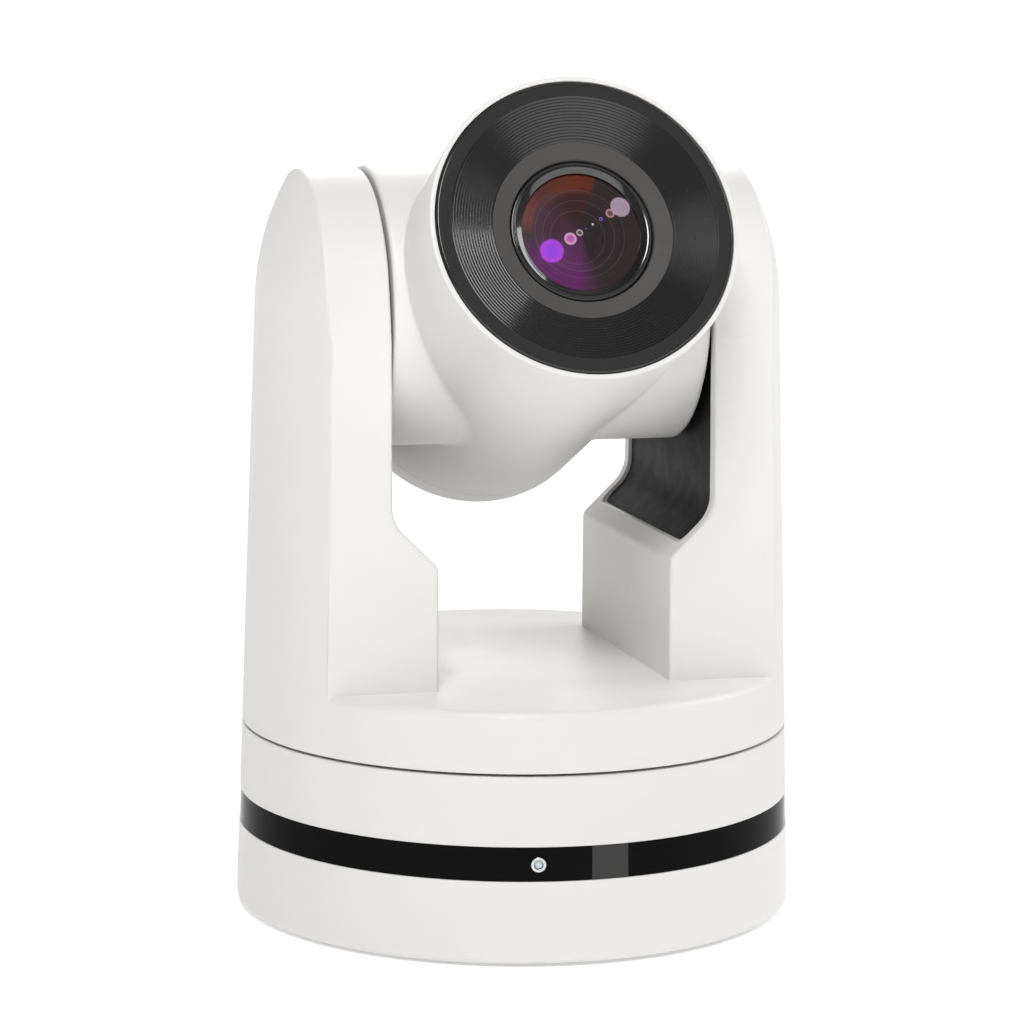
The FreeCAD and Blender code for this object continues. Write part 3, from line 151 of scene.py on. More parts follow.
def finish(name, colour, roughness, metallic=0.0, mottle=0.04, grain=1800.0, grain_height=6e-6,
           worn=None, wear=0.5, edge=0.00025, brushed=None, specks=0.0, sockets=()):
    """A material with colour mottle, a fine grain, uneven gloss and worn edges."""
    material = bpy.data.materials.new(name)
    n = Nodes(material)
    place = n.add("ShaderNodeTexCoord").outputs["Object"]
    if brushed:
        stretch = n.add("ShaderNodeMapping")
        stretch.inputs["Scale"].default_value = brushed
        n.link(place, stretch.inputs["Vector"])
        fine = n.noise(stretch.outputs["Vector"], grain, 4.0, 0.6)
    else:
        fine = n.noise(place, grain, 2.0, 0.5)
    broad = n.noise(place, 38.0, 3.0, 0.5)
    cloud = n.noise(place, 190.0, 4.0, 0.6)
    shade = n.span(broad, 0.3, 0.7, 1 - mottle, 1 + mottle * 0.4)
    base = n.mix(1.0, colour, shade, "MULTIPLY")
    if specks:
        dots = n.add("ShaderNodeTexVoronoi")
        dots.inputs["Scale"].default_value = 420.0
        n.link(place, dots.inputs["Vector"])
        dust = n.span(dots.outputs["Distance"], 0.05, 0.09, specks, 0.0)
        base = n.mix(dust, base, tuple(min(1.0, c * 4 + 0.08) for c in colour))
    # edges: where the rounded normal leaves the flat one
    bevel = n.add("ShaderNodeBevel", samples=4)
    bevel.inputs["Radius"].default_value = edge
    flat = n.add("ShaderNodeNewGeometry").outputs["Normal"]
    dot = n.add("ShaderNodeVectorMath", operation="DOT_PRODUCT")
    n.link(bevel.outputs["Normal"], dot.inputs[0])
    n.link(flat, dot.inputs[1])
    edges = n.span(dot.outputs["Value"], 0.97, 0.8, 0.0, wear)
    edges = n.maths("MULTIPLY", edges, n.span(cloud, 0.42, 0.62, 0.15, 1.0), clamp=True)
    worn = worn or tuple(min(1.0, c * 1.25 + 0.01) for c in colour)
    base = n.mix(edges, base, worn)
    gloss = n.span(cloud, 0.3, 0.7, roughness * 0.9, roughness * 1.12)
    gloss = n.maths("ADD", gloss, n.span(fine, 0.3, 0.7, -0.02, 0.02), clamp=True)
    bump = n.add("ShaderNodeBump")
    bump.inputs["Strength"].default_value = 1.0
    bump.inputs["Distance"].default_value = grain_height
    n.link(fine, bump.inputs["Height"])
    n.link(bevel.outputs["Normal"], bump.inputs["Normal"])
    shader = n.add("ShaderNodeBsdfPrincipled")
    shader.inputs["Metallic"].default_value = metallic
    for socket, value in sockets:
        shader.inputs[socket].default_value = value
    n.link(base, shader.inputs["Base Color"])
    n.link(gloss, shader.inputs["Roughness"])
    n.link(bump.outputs["Normal"], shader.inputs["Normal"])
    n.link(shader.outputs[0], n.output.inputs[0])
    return material


WHITE = (0.80, 0.79, 0.765)
MATERIALS = {
    "white_shell": finish("white_shell_paint", WHITE, 0.42, mottle=0.012, grain=2600, grain_height=5e-6,
                          worn=(0.86, 0.85, 0.83), wear=0.25, edge=0.0003,
                          sockets=(("IOR", 1.46), ("Coat Weight", 0.08), ("Coat Roughness", 0.3))),
    "black_band": finish("black_band_gloss", (0.006, 0.006, 0.0062), 0.06, mottle=0.1, grain=900,
                         grain_height=4e-7, wear=0.2, edge=0.0001, sockets=(("IOR", 1.09),)),
    "grey_window": finish("grey_window_gloss", (0.034, 0.034, 0.033), 0.08, mottle=0.1, grain=900,
                          grain_height=4e-7, wear=0.2, edge=0.0001, sockets=(("IOR", 1.35),)),
    "bright_metal": finish("bright_metal_plate", (0.72, 0.72, 0.71), 0.18, 1.0, grain=1500,
                           grain_height=2e-6, worn=(0.85, 0.85, 0.84)),
    "lamp_lens": finish("lamp_lens_clear", (0.75, 0.77, 0.77), 0.16, mottle=0.05, grain=2500,
                        grain_height=1e-6, sockets=(("Subsurface Weight", 0.3), ("Coat Weight", 1.0))),
    "rubber": finish("rubber_foot", (0.022, 0.022, 0.022), 0.82, mottle=0.2, grain=1400,
                     grain_height=2.5e-5, worn=(0.06, 0.06, 0.058), specks=0.2),
    "cast_metal": finish("cast_metal_blasted", (0.50, 0.50, 0.50), 0.5, 0.9, mottle=0.08, grain=2200,
                         grain_height=2e-5, worn=(0.72, 0.72, 0.72)),
    "steel": finish("steel_zinc", (0.52, 0.53, 0.54), 0.32, 1.0, mottle=0.1, grain=500, grain_height=3e-6,
                    worn=(0.7, 0.7, 0.7), brushed=(1.0, 1.0, 12.0)),
    "dark_cover": finish("dark_cover_satin", (0.009, 0.009, 0.0095), 0.5, mottle=0.12, grain=2400,
                         grain_height=9e-6, worn=(0.05, 0.05, 0.05), edge=0.0003, sockets=(("IOR", 1.2),)),
    "black_ring": finish("black_ring_satin", (0.013, 0.0128, 0.0125), 0.14, mottle=0.1, grain=3000,
                         grain_height=5e-6, worn=(0.05, 0.05, 0.05), wear=0.15, edge=0.00003, specks=0.18,
                         sockets=(("IOR", 1.6),)),
    "black_rim": finish("black_rim_gloss", (0.008, 0.008, 0.008), 0.12, mottle=0.1, grain=1500,
                        grain_height=1e-6, worn=(0.1, 0.1, 0.1), wear=0.25, edge=0.00005,
                        sockets=(("IOR", 1.7), ("Coat Weight", 0.5))),
    "inner_black": finish("inner_black_matt", (0.012, 0.012, 0.012), 0.6, mottle=0.15, grain=1800,
                          grain_height=8e-6),
    "circuit_board": finish("circuit_board_mask", (0.012, 0.11, 0.045), 0.38, mottle=0.25, grain=700,
                            grain_height=1e-5, worn=(0.55, 0.42, 0.15), specks=0.7),
    "motor_case": finish("motor_case_steel", (0.38, 0.38, 0.39), 0.36, 1.0, mottle=0.12, grain=600,
                         grain_height=3e-6, brushed=(10.0, 10.0, 1.0)),
    "gear_plastic": finish("gear_plastic_acetal", (0.72, 0.70, 0.62), 0.42, mottle=0.05, grain=1600,
                           grain_height=6e-6, sockets=(("Subsurface Weight", 0.1),)),
    "socket_metal": finish("socket_metal_nickel", (0.60, 0.59, 0.56), 0.28, 1.0, mottle=0.08, grain=1200,
                           grain_height=3e-6, brushed=(1.0, 6.0, 1.0)),
    "socket_plastic": finish("socket_plastic_black", (0.014, 0.014, 0.014), 0.5, mottle=0.15, grain=2000,
                             grain_height=8e-6),
    "brass": finish("brass_turned", (0.62, 0.43, 0.15), 0.26, 1.0, mottle=0.1, grain=900, grain_height=3e-6,
                    brushed=(8.0, 8.0, 1.0)),
}

# The smooth cone inside the ribs is one moulding with them, but duller, and painted a lighter grey than the
# ribs as a painted sheen
SMOOTH_CONE = finish("smooth_cone_satin_painted_sheen", (0.080, 0.076, 0.073), 0.55, mottle=0.1, grain=3000,
                     grain_height=3e-6, worn=(0.1, 0.1, 0.1), wear=0.15, edge=0.00005,
                     sockets=(("IOR", 1.25),))


def coated_glass():
    """Clear glass with a faint violet coating: see-through, with mirror reflections."""
    material = bpy.data.materials.new("coated_glass_clear")
    n = Nodes(material)
    place = n.add("ShaderNodeTexCoord").outputs["Object"]
    smear = n.noise(place, 260.0, 4.0, 0.6)
    dust = n.add("ShaderNodeTexVoronoi")
    dust.inputs["Scale"].default_value = 900.0
    n.link(place, dust.inputs["Vector"])
    clear = n.add("ShaderNodeBsdfTransparent")
    tint = n.mix(n.span(smear, 0.3, 0.7, 0.0, 1.0), (0.93, 0.90, 0.94), (0.97, 0.95, 0.97))
    tint = n.mix(n.span(dust.outputs["Distance"], 0.03, 0.07, 0.25, 0.0), tint, (0.7, 0.7, 0.7))
    n.link(tint, clear.inputs["Color"])
    mirror = n.add("ShaderNodeBsdfGlossy")
    mirror.inputs["Color"].default_value = (0.78, 0.70, 0.82, 1.0)
    n.link(n.span(smear, 0.3, 0.7, 0.012, 0.03), mirror.inputs["Roughness"])
    fresnel = n.add("ShaderNodeFresnel")
    fresnel.inputs["IOR"].default_value = 1.36
    both = n.add("ShaderNodeMixShader")
    n.link(fresnel.outputs[0], both.inputs[0])
    n.link(clear.outputs[0], both.inputs[1])
    n.link(mirror.outputs[0], both.inputs[2])
    n.link(both.outputs[0], n.output.inputs[0])
    return material


MATERIALS["coated_glass"] = coated_glass()

SLOT_OF = {part["node"]: part["material_slot"] for part in record["subparts"]}
for node_name, node in nodes.items():
    material = MATERIALS[SLOT_OF[node_name]]
    if not node.material_slots:
        node.data.materials.append(material)
    for slot in node.material_slots:
        slot.material = material


# ---- mesh helpers ----

def piece(name, mesh, slot_name, body, replaced=(), place=None, material=None):
    """Adds a mesh as a piece that rides on a body and stands for CAD nodes. The slot gives its material."""
    thing = bpy.data.objects.new(name, mesh)
    bpy.context.scene.collection.objects.link(thing)
    if place is not None:
        mesh.transform(place)
    mesh.materials.clear()
    mesh.materials.append(material or MATERIALS[slot_name])
    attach(thing, body)
    if replaced:
        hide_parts(*replaced)
    return thing


def rounded(points, radius=0.2, steps=4):
    """An outline of (radius, y[, round]) points with each inner corner rounded."""
    out = [Vector(points[0][:2])]
    for before, corner, after in zip(points, points[1:], points[2:]):
        size = corner[2] if len(corner) > 2 else radius
        c = Vector(corner[:2])
        a = Vector(before[:2]) - c
        b = Vector(after[:2]) - c
        if size <= 0 or a.length < 1e-6 or b.length < 1e-6:
            out.append(c)
            continue
        half = 0.5 * a.angle(b)
        cut = min(size / math.tan(half), 0.45 * a.length, 0.45 * b.length)
        start = c + a.normalized() * cut
        end = c + b.normalized() * cut
        for step in range(steps + 1):
            t = step / steps
            out.append((1 - t) ** 2 * start + 2 * t * (1 - t) * c + t ** 2 * end)
    out.append(Vector(points[-1][:2]))
    return out


def lathe(name, profile, segments=288, sharp=28.0):
    """A mesh turned about the Y axis from (radius, y) points in millimetres."""
    mesh = bmesh.new()
    rings = []
    for radius, y in profile:
        if radius < 1e-4:
            rings.append([mesh.verts.new((0, y * MM, 0))])
            continue
        turn = [2 * math.pi * i / segments for i in range(segments)]
        rings.append([mesh.verts.new((radius * MM * math.sin(t), y * MM, radius * MM * math.cos(t)))
                      for t in turn])
    for first, second in zip(rings, rings[1:]):
        for i in range(segments):
            j = (i + 1) % segments
            if len(first) == 1:
                mesh.faces.new((first[0], second[i], second[j]))
            elif len(second) == 1:
                mesh.faces.new((first[i], second[0], first[j]))
            else:
                mesh.faces.new((first[i], second[i], second[j], first[j]))
    bmesh.ops.recalc_face_normals(mesh, faces=mesh.faces)
    data = bpy.data.meshes.new(name)
    mesh.to_mesh(data)
    mesh.free()
    data.shade_smooth()
    data.set_sharp_from_angle(angle=math.radians(sharp))
    return data


def barrel_radius(y):
    """Radius of the barrel's straight, tapered side."""
    span = BARREL_REAR - BARREL_REAR_ROUND - BARREL_FRONT
    return BARREL_FRONT_RADIUS + (BARREL_REAR_RADIUS - BARREL_FRONT_RADIUS) * (y - BARREL_FRONT) / span


# ---- head skin ----

CREASE_ROUND = 0.8
SKIN_FRONT = -62.0
SKIN_REAR = REAR_CAP_SEAM - SEAM_HALF
SKIN_VOXEL = 0.85
SKIN_MARGIN = 2.5
SETTLE_STEPS = 12
SETTLE_REACH = 0.6
TRIM_STEPS = 4


def head_distance(points):
    """Distance to the head's outer surface: drum and barrel joined with a small hollow round."""
    x, y, z = points[:, 0], points[:, 1], points[:, 2]
    across = np.abs(x) - (DRUM_HALF_LENGTH - DRUM_END_ROUND)
    out = np.hypot(y, z) - (DRUM_RADIUS - DRUM_END_ROUND)
    drum = (np.minimum(np.maximum(across, out), 0)
            + np.hypot(np.maximum(across, 0), np.maximum(out, 0)) - DRUM_END_ROUND)
    slope = math.atan((BARREL_FRONT_RADIUS - BARREL_REAR_RADIUS)
                      / (BARREL_REAR - BARREL_REAR_ROUND - BARREL_FRONT))
    barrel = (np.hypot(x, z - BARREL_DROP) - barrel_radius(y)) * math.cos(slope)
    near = np.hypot(np.maximum(CREASE_ROUND - drum, 0), np.maximum(CREASE_ROUND - barrel, 0))
    return np.maximum(CREASE_ROUND, np.minimum(drum, barrel)) - near


def head_slope(points):
    """Unit normals of the head's surface near points."""
    step = 0.01
    slope = np.empty_like(points)
    for axis in range(3):
        move = np.zeros(3)
        move[axis] = step
        slope[:, axis] = head_distance(points + move) - head_distance(points - move)
    return slope / np.maximum(np.linalg.norm(slope, axis=1, keepdims=True), 1e-9)


def head_skin():
    """Drum and barrel as one smooth moulding, from a voxel mesh settled onto the exact surface."""
    rough = bmesh.new()
    drum = Matrix.Rotation(math.radians(90), 4, "Y")
    bmesh.ops.create_cone(rough, cap_ends=True, segments=96, radius1=DRUM_RADIUS, radius2=DRUM_RADIUS,
                          depth=2 * DRUM_HALF_LENGTH, matrix=drum)
    low = BARREL_FRONT - 1
    high = REAR_CAP_SEAM + 6
    along = (Matrix.Translation((0, 0.5 * (low + high), BARREL_DROP))
             @ Matrix.Rotation(math.radians(90), 4, "X"))
    bmesh.ops.create_cone(rough, cap_ends=True, segments=96, radius1=barrel_radius(high),
                          radius2=barrel_radius(low), depth=high - low, matrix=along)
    data = bpy.data.meshes.new("head_rough")
    rough.to_mesh(data)
    rough.free()
    holder = bpy.data.objects.new("head_rough", data)
    bpy.context.scene.collection.objects.link(holder)
    remesh = holder.modifiers.new("voxels", "REMESH")
    remesh.mode = "VOXEL"
    remesh.voxel_size = SKIN_VOXEL
    graph = bpy.context.evaluated_depsgraph_get()
    skin = bpy.data.meshes.new_from_object(holder.evaluated_get(graph))
    bpy.data.objects.remove(holder)
    points = np.empty(len(skin.vertices) * 3)
    skin.vertices.foreach_get("co", points)
    points = points.reshape(-1, 3)
    inside = (points[:, 1] > low + SKIN_MARGIN) & (points[:, 1] < high - SKIN_MARGIN)
    for _ in range(SETTLE_STEPS):
        move = head_slope(points) * head_distance(points)[:, None]
        length = np.maximum(np.linalg.norm(move, axis=1, keepdims=True), 1e-9)
        move *= np.minimum(1.0, SETTLE_REACH / length)
        points[inside] -= move[inside]
    skin.vertices.foreach_set("co", points.ravel())
    mesh = bmesh.new()
    mesh.from_mesh(skin)
    for y, side in ((SKIN_FRONT, -1), (SKIN_REAR, 1)):
        bmesh.ops.bisect_plane(mesh, geom=mesh.verts[:] + mesh.edges[:] + mesh.faces[:], dist=1e-5,
                               plane_co=(0, y, 0), plane_no=(0, side, 0), clear_outer=True)
    mesh.to_mesh(skin)
    mesh.free()
    points = np.empty(len(skin.vertices) * 3)
    skin.vertices.foreach_get("co", points)
    points = points.reshape(-1, 3)
    # the cut ends stay in their planes while the new points settle
    for _ in range(TRIM_STEPS):
        move = head_slope(points) * head_distance(points)[:, None]
        move[:, 1] = 0
        points -= move
    normals = head_slope(points)
    skin.vertices.foreach_set("co", (points * MM).ravel())
    skin.transform(HEAD)
    normals = normals @ np.array(HEAD.to_3x3()).T
    skin.shade_smooth()
    skin.normals_split_custom_set_from_vertices(normals)
    skin.update()
    return skin


piece("head_skin", head_skin(), "white_shell", "head",
      ("head_shell", "right_drum_cap", "left_drum_cap"))

lip = rounded([(barrel_radius(SKIN_FRONT), SKIN_FRONT), (BARREL_FRONT_RADIUS, BARREL_FRONT, 0.45),
               (RING_RADIUS + RING_GAP, BARREL_FRONT, 0.2),
               (RING_RADIUS + RING_GAP, BARREL_FRONT + RING_DEPTH)], steps=5)
piece("head_front_lip", lathe("head_front_lip", lip), "white_shell", "head", (), OPTICS)

seam = rounded([(barrel_radius(SKIN_REAR), SKIN_REAR), (barrel_radius(SKIN_REAR) - SEAM_DEPTH, SKIN_REAR)])
piece("head_seam_lip", lathe("head_seam_lip", seam), "white_shell", "head", (), OPTICS)


def rear_cap_profile():
    """The cap behind the seam: straight side, a large round, a flat back."""
    start = REAR_CAP_SEAM + SEAM_HALF
    corner = BARREL_REAR - BARREL_REAR_ROUND
    points = [(barrel_radius(start) - SEAM_DEPTH, start), (barrel_radius(start) - SEAM_EDGE, start),
              (barrel_radius(start), start + SEAM_EDGE), (barrel_radius(corner), corner)]
    for step in range(1, CAP_ROUND_STEPS + 1):
        turn = 0.5 * math.pi * step / CAP_ROUND_STEPS
        points.append((BARREL_REAR_RADIUS - BARREL_REAR_ROUND * (1 - math.cos(turn)),
                       corner + BARREL_REAR_ROUND * math.sin(turn)))
    points += [(reach, BARREL_REAR) for reach in (18.0, 9.0, 0.0)]
    return points


piece("rear_cap_skin", lathe("rear_cap_skin", rear_cap_profile()), "white_shell", "head",
      ("head_rear_cap",), OPTICS)


# ---- lens ring ----

def ring_profile():
    """Outlines of the flat edge with its ribs, whose inner sides slope towards the lens, and of the cone."""
    face = BARREL_FRONT - RING_PROUD
    slope = CONE_DEPTH / (RIB_OUTER_RADIUS - CONE_INNER_RADIUS)
    pitch = (RIB_OUTER_RADIUS - RIB_INNER_RADIUS) / RIB_COUNT
    points = [(RING_RADIUS, face + RING_DEPTH), (RING_RADIUS, face + 0.6, 0.2),
              (RING_RADIUS - 0.6, face, 0.3), (RIB_OUTER_RADIUS + 0.25, face + RING_STEP, 0.15)]
    for rib in range(RIB_COUNT):
        outer = RIB_OUTER_RADIUS - pitch * rib
        depth = face + RING_STEP + slope * pitch * rib
        points.append((outer, depth, 0.03))
        points.append((outer - RIB_LAND, depth, 0.02))
        points.append((outer - RIB_FOOT, depth + RIB_DEPTH, 0.02))
        points.append((outer - RIB_END, depth + RIB_END_DEPTH, 0.02))
    end = face + RING_STEP + slope * pitch * RIB_COUNT
    points.append((RIB_INNER_RADIUS, end))
    bottom = face + CONE_DEPTH
    cone = [(RIB_INNER_RADIUS, end), (CONE_INNER_RADIUS + 0.25, bottom, 0.12),
            (CONE_INNER_RADIUS, bottom + 0.3, 0.1), (CONE_INNER_RADIUS, bottom + 4)]
    return rounded(points, steps=2), rounded(cone, steps=4)


ribs_outline, cone_outline = ring_profile()
piece("lens_ring", lathe("lens_ring", ribs_outline, 360, 40), "black_ring", "head", ("front_ring",), OPTICS)
piece("lens_cone", lathe("lens_cone", cone_outline, 360, 40), "black_ring", "head", (), OPTICS, SMOOTH_CONE)


# ---- glass and what shows through it ----

RIM_FRONT = BARREL_FRONT + CONE_DEPTH - 0.3
RIM_RADIUS = CONE_INNER_RADIUS - 0.15
# Radius, distance behind the rim's front, round
RIM_OUTLINE = ((RIM_RADIUS, 7), (RIM_RADIUS, 0.9, 0.2), (17.5, 0.45, 0.25), (17.0, 0.5, 0.1),
               (16.85, 0.1, 0.15), (16.45, 0.2, 0.2), (15.0, 1.03, 0.1), (14.85, 3.4))
rim = rounded([(radius, RIM_FRONT + behind, *turn) for radius, behind, *turn in RIM_OUTLINE], steps=4)
piece("glass_rim", lathe("glass_rim", rim, 256, 40), "black_rim", "head", ("lens_rim",), OPTICS)

GLASS_RADIUS = 15.2
GLASS_EDGE = RIM_FRONT + 1.3
GLASS_BULGE = 1.2
DOME_RINGS = 24
PAINT_BEHIND = 0.5


def dome_y(reach):
    """Where the glass's front surface lies at a distance from its middle."""
    return GLASS_EDGE - GLASS_BULGE * (1 - (reach / GLASS_RADIUS) ** 2)


dome = [(reach, dome_y(reach)) for reach in (GLASS_RADIUS * t / DOME_RINGS for t in range(DOME_RINGS + 1))]
piece("front_element", lathe("front_element", dome, 192), "coated_glass", "head", ("front_glass",), OPTICS)


def srgb(*levels):
    """Linear colour of a tone given as it looks on a screen, 0 to 255."""
    return tuple(((v / 255 + 0.055) / 1.055) ** 2.4 if v > 10 else v / 255 / 12.92 for v in levels)


# The reflections inside the lens lie on one line through its middle and grow with their distance from it.
# Each has a tone and the tone of its middle, listed from the lens's middle outwards.
CHAIN_ANGLE = math.radians(31.0)
UPPER_CHAIN = (
    ((130, 105, 205), (96, 76, 170)),
    ((235, 240, 235), (245, 248, 245)),
    ((150, 130, 230), (50, 34, 90)),
    ((216, 170, 158), (78, 52, 46)),
    ((196, 180, 192), (182, 166, 180)),
)
LOWER_CHAIN = (
    ((226, 208, 208), (22, 16, 20)),
    ((236, 190, 214), (196, 84, 180)),
    ((196, 84, 240), (156, 78, 230)),
)
# tone of the light painted rings, painted highlights on the edges of the inner elements
RING_HIGHLIGHT_TONE = (122, 110, 110)
EDGE_TONE = (20, 16, 18)


def reflections():
    """Place across and up in millimetres, radius, soft edge, strength and tone of each spot of the chain."""
    spots = []
    for side, chain in ((1, UPPER_CHAIN), (-1, LOWER_CHAIN)):
        for step, (tone, middle) in enumerate(chain, 1):
            away = 1.3 * step ** 1.4 if side > 0 else 0.7 * step ** 2.35
            size = 0.3 + 0.00125 * away ** 3 if side > 0 else 0.75 + 0.25 * away
            px = side * away * math.cos(CHAIN_ANGLE)
            pz = side * away * math.sin(CHAIN_ANGLE)
            spots.append((px, pz, size, 0.12 + 0.06 * size, 0.9, tone))
            spots.append((px, pz, 0.74 * size, 0.3 * size, 0.85, middle))
    return spots


def inner_lens_paint():
    """Dark coated glass painted with its reflections: warm and violet sectors, faint rings and a chain of
    soft spots, all painted into the colour.
    """
    material = bpy.data.materials.new("inner_lens_painted_reflections")
    n = Nodes(material)
    place = n.add("ShaderNodeTexCoord").outputs["Object"]
    local = OPTICS.inverted()
    across = n.add("ShaderNodeMapping")
    across.inputs["Location"].default_value = local.to_translation()
    across.inputs["Rotation"].default_value = local.to_euler()
    n.link(place, across.inputs["Vector"])
    split = n.add("ShaderNodeSeparateXYZ")
    n.link(across.outputs["Vector"], split.inputs[0])
    x = n.maths("MULTIPLY", split.outputs["X"], 1 / MM)
    z = n.maths("MULTIPLY", split.outputs["Z"], 1 / MM)
    soft = n.noise(place, 420.0, 2.0)

    def radius_from(px, pz):
        dx = n.maths("SUBTRACT", x, px)
        dz = n.maths("SUBTRACT", z, pz)
        return n.maths("SQRT", n.maths("ADD", n.maths("MULTIPLY", dx, dx), n.maths("MULTIPLY", dz, dz)))

    reach = radius_from(0.0, 0.0)
    angle = n.maths("ARCTAN2", z, x)

    def region(*limits):
        """One mask from limits by angle or by reach: which, from, to, mask there and there."""
        mask = None
        for which, *ends in limits:
            part = n.span(which, *ends)
            mask = part if mask is None else n.maths("MULTIPLY", mask, part)
        return mask

    colour = n.mix(n.span(soft, 0.3, 0.7, 0.0, 1.0), srgb(40, 35, 35), srgb(50, 43, 42))
    # painted reflection: the dark glass is painted lighter towards the rim
    colour = n.mix(region((reach, 6.0, 13.0, 0.0, 0.8)), colour, srgb(66, 57, 55))
    # painted reflection: a warm sector from near the top round to the left, brightest towards the rim
    warm_tone = n.mix(region((reach, 9.5, 11.5, 0.0, 1.0)), srgb(64, 36, 30), srgb(116, 58, 40))
    warm = region((angle, 1.2, 1.25, 0.0, 1.0), (angle, 1.7, 2.7, 1.0, 0.2), (reach, 1.5, 6.0, 0.3, 0.95))
    colour = n.mix(warm, colour, warm_tone)
    # painted reflection: a warm strip near the rim on the left
    strip = region((angle, 2.35, 2.6, 0.0, 1.0), (reach, 11.6, 13.2, 0.0, 0.9), (angle, 2.9, 3.14, 1.0, 0.0))
    colour = n.mix(strip, colour, srgb(120, 62, 56))
    # painted reflection: a dusky stretch on the left between the two sectors, and one lower down
    dusk = region((angle, 2.0, 2.7, 0.0, 1.0), (reach, 10.5, 12.5, 0.85, 0.0))
    colour = n.mix(dusk, colour, srgb(76, 42, 60))
    low_dusk = region((angle, -2.6, -3.14, 0.0, 1.0), (reach, 10.5, 12.5, 0.85, 0.0),
                      (angle, -2.4, -2.5, 0.0, 1.0))
    colour = n.mix(low_dusk, colour, srgb(76, 42, 60))
    # painted reflection: a violet sector from the left round to below
    violet = region((angle, -1.3, -1.75, 0.0, 1.0), (reach, 1.0, 10.0, 0.35, 0.92),
                    (angle, -3.14, -2.6, 0.0, 1.0))
    colour = n.mix(violet, colour, srgb(112, 52, 110))
    # painted rings for the edges of the elements further in: each smaller than the last and lower to the
    # left; the outermost is dark, the others light as painted highlights
    for step in range(4):
        from_edge = n.maths("SUBTRACT", radius_from(-0.4 * step, -0.5 * step), 13.4 - 2.2 * step)
        away = n.maths("ABSOLUTE", from_edge)
        colour = n.mix(n.span(away, 0.06, 0.16, 0.24, 0.0), colour, srgb(*(RING_HIGHLIGHT_TONE if step else EDGE_TONE)))
    # painted reflections: the chain of soft spots, painted into the colour
    for px, pz, size, edge, strength, tone in reflections():
        colour = n.mix(n.span(radius_from(px, pz), size - edge, size, strength, 0.0), colour, srgb(*tone))
    grain = n.noise(place, 2500.0, 2.0)
    bump = n.add("ShaderNodeBump")
    bump.inputs["Distance"].default_value = 4e-7
    n.link(grain, bump.inputs["Height"])
    shader = n.add("ShaderNodeBsdfPrincipled")
    shader.inputs["IOR"].default_value = 1.2
    n.link(colour, shader.inputs["Base Color"])
    n.link(n.span(soft, 0.3, 0.7, 0.3, 0.36), shader.inputs["Roughness"])
    n.link(bump.outputs["Normal"], shader.inputs["Normal"])
    n.link(shader.outputs[0], n.output.inputs[0])
    return material


shell = [(reach, dome_y(reach) + PAINT_BEHIND) for reach in
         (0.0, 2.5, 5.0, 7.5, 9.5, 11.0, 12.4, 13.6, 14.5, 15.0)]
piece("inner_lens", lathe("inner_lens", shell, 192), "coated_glass", "head", ("second_lens",), OPTICS,
      inner_lens_paint())


# ---- floor, light, camera ----

def paper_material():
    """Pale paper that glows more with distance, so it stays white where the lamps don't reach."""
    material = bpy.data.materials.new("floor_paper")
    n = Nodes(material)
    place = n.add("ShaderNodeTexCoord").outputs["Object"]
    tone = n.mix(n.noise(place, 6.0, 3.0), (0.79, 0.79, 0.79), (0.81, 0.81, 0.81))
    far = n.add("ShaderNodeVectorMath", operation="LENGTH")
    n.link(place, far.inputs[0])
    shader = n.add("ShaderNodeBsdfPrincipled")
    shader.inputs["Roughness"].default_value = 0.9
    shader.inputs["Specular IOR Level"].default_value = 0.1
    shader.inputs["Emission Color"].default_value = (1, 1, 1, 1)
    n.link(tone, shader.inputs["Base Color"])
    n.link(n.span(far.outputs["Value"], 0.4, 2.5, 0.38, 0.95), shader.inputs["Emission Strength"])
    n.link(shader.outputs[0], n.output.inputs[0])
    return material


FLOOR_RADIUS_METRES = 30.0
floor_mesh = bmesh.new()
bmesh.ops.create_circle(floor_mesh, cap_ends=True, segments=96, radius=FLOOR_RADIUS_METRES)
floor_data = bpy.data.meshes.new("floor")
floor_mesh.to_mesh(floor_data)
floor_mesh.free()
floor_data.materials.append(paper_material())
floor = bpy.data.objects.new("floor", floor_data)
bpy.context.scene.collection.objects.link(floor)


def studio():
    """Bright walls behind the object, a dimmer room in front of it and overhead."""
    world = bpy.data.worlds.new("studio")
    n = Nodes(world, "ShaderNodeOutputWorld")
    split = n.add("ShaderNodeSeparateXYZ")
    n.link(n.add("ShaderNodeTexCoord").outputs["Generated"], split.inputs[0])
    behind = n.span(split.outputs["Y"], -0.1, 0.6, 0.22, 1.0)
    overhead = n.span(split.outputs["Z"], 0.2, 0.8, 1.0, 0.45)
    light = n.add("ShaderNodeBackground")
    n.link(n.maths("MULTIPLY", behind, overhead), light.inputs["Strength"])
    n.link(light.outputs[0], n.output.inputs[0])
    return world


bpy.context.scene.world = studio()


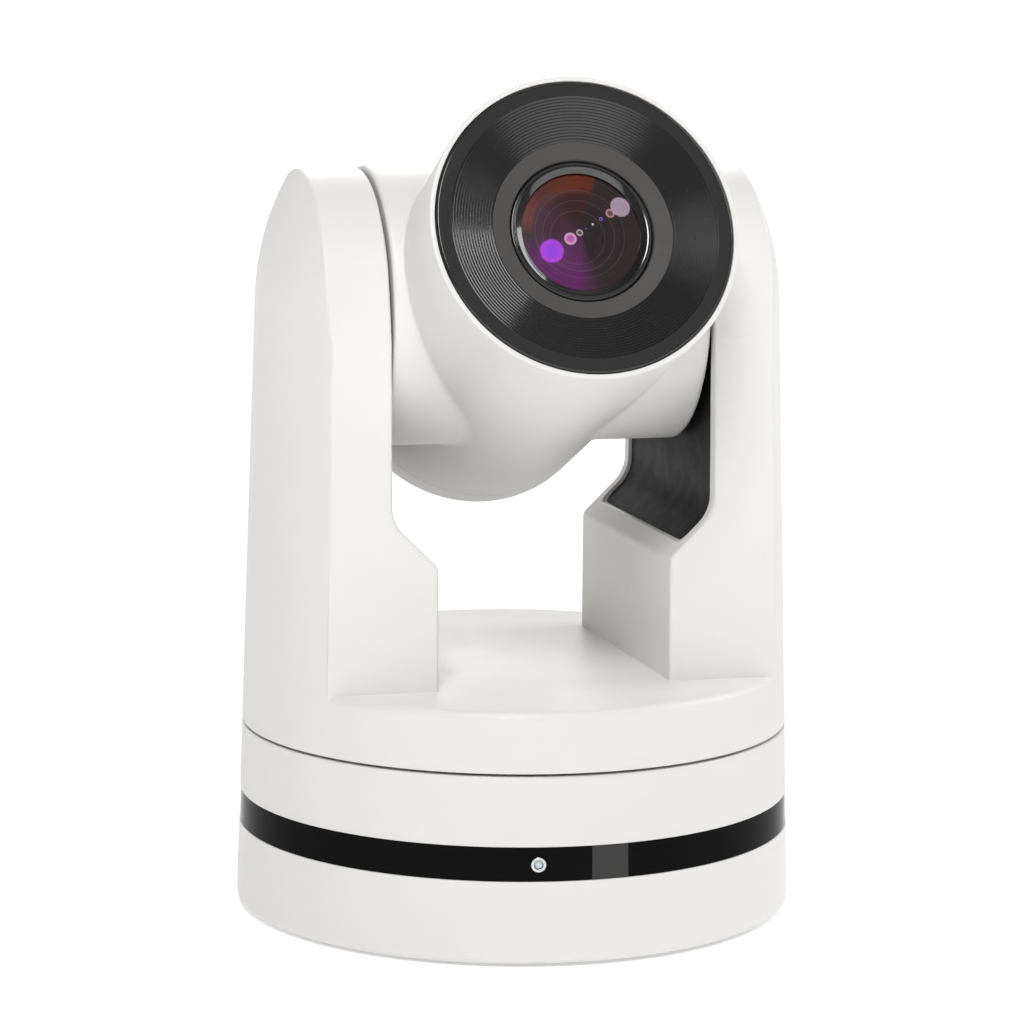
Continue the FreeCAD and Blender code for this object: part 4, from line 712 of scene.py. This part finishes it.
def softbox(name, spot, target, size, power):
    """A round soft light at a spot in metres, facing a target, with its size in metres and power in watts."""
    lamp = bpy.data.lights.new(name, "AREA")
    lamp.shape = "DISK"
    lamp.size = size
    lamp.energy = power
    thing = bpy.data.objects.new(name, lamp)
    thing.location = spot
    aim = Vector(target) - Vector(spot)
    thing.rotation_euler = aim.to_track_quat("-Z", "Y").to_euler()
    bpy.context.scene.collection.objects.link(thing)


softbox("key_light", (-0.26, -1.65, 1.85), (0, 0, 0.12), 1.0, 38.0)
softbox("side_light", (1.78, 0.47, 1.35), (0, 0, 0.16), 1.3, 15.0)
softbox("back_light", (0.0, 2.0, 1.25), (0, 0, 0.08), 1.2, 11.0)
softbox("ring_light", (0.8, -1.43, 1.6), (0, 0, 0.16), 1.0, 0.9)

# The camera: place in metres, directions in radians, focal length in millimetres
CAMERA_PLACE = (-0.08655, -0.9510, 0.25202)
CAMERA_LENS = 130.48
CAMERA_TURN = math.radians(-5.2)
CAMERA_DOWN = 0.155672
CAMERA_YAW = -0.000885
CAMERA_ROLL = 0.009035
forward = Vector((math.sin(CAMERA_YAW) * math.cos(CAMERA_DOWN),
                  math.cos(CAMERA_YAW) * math.cos(CAMERA_DOWN), -math.sin(CAMERA_DOWN)))
right = Vector((math.cos(CAMERA_YAW), -math.sin(CAMERA_YAW), 0))
up = right.cross(forward)
side = math.cos(CAMERA_ROLL) * right + math.sin(CAMERA_ROLL) * up
head_up = -math.sin(CAMERA_ROLL) * right + math.cos(CAMERA_ROLL) * up
turn = Matrix.Rotation(CAMERA_TURN, 3, "Z")
axes = Matrix((turn @ side, turn @ head_up, -(turn @ forward))).transposed()
lens = bpy.data.cameras.new("camera")
lens.lens = CAMERA_LENS
lens.sensor_width = 36.0
lens.clip_end = 100.0
view = bpy.data.objects.new("camera", lens)
view.matrix_world = Matrix.Translation(CAMERA_PLACE) @ axes.to_4x4()
bpy.context.scene.collection.objects.link(view)
bpy.context.scene.camera = view
bpy.context.scene.view_settings.view_transform = "Standard"
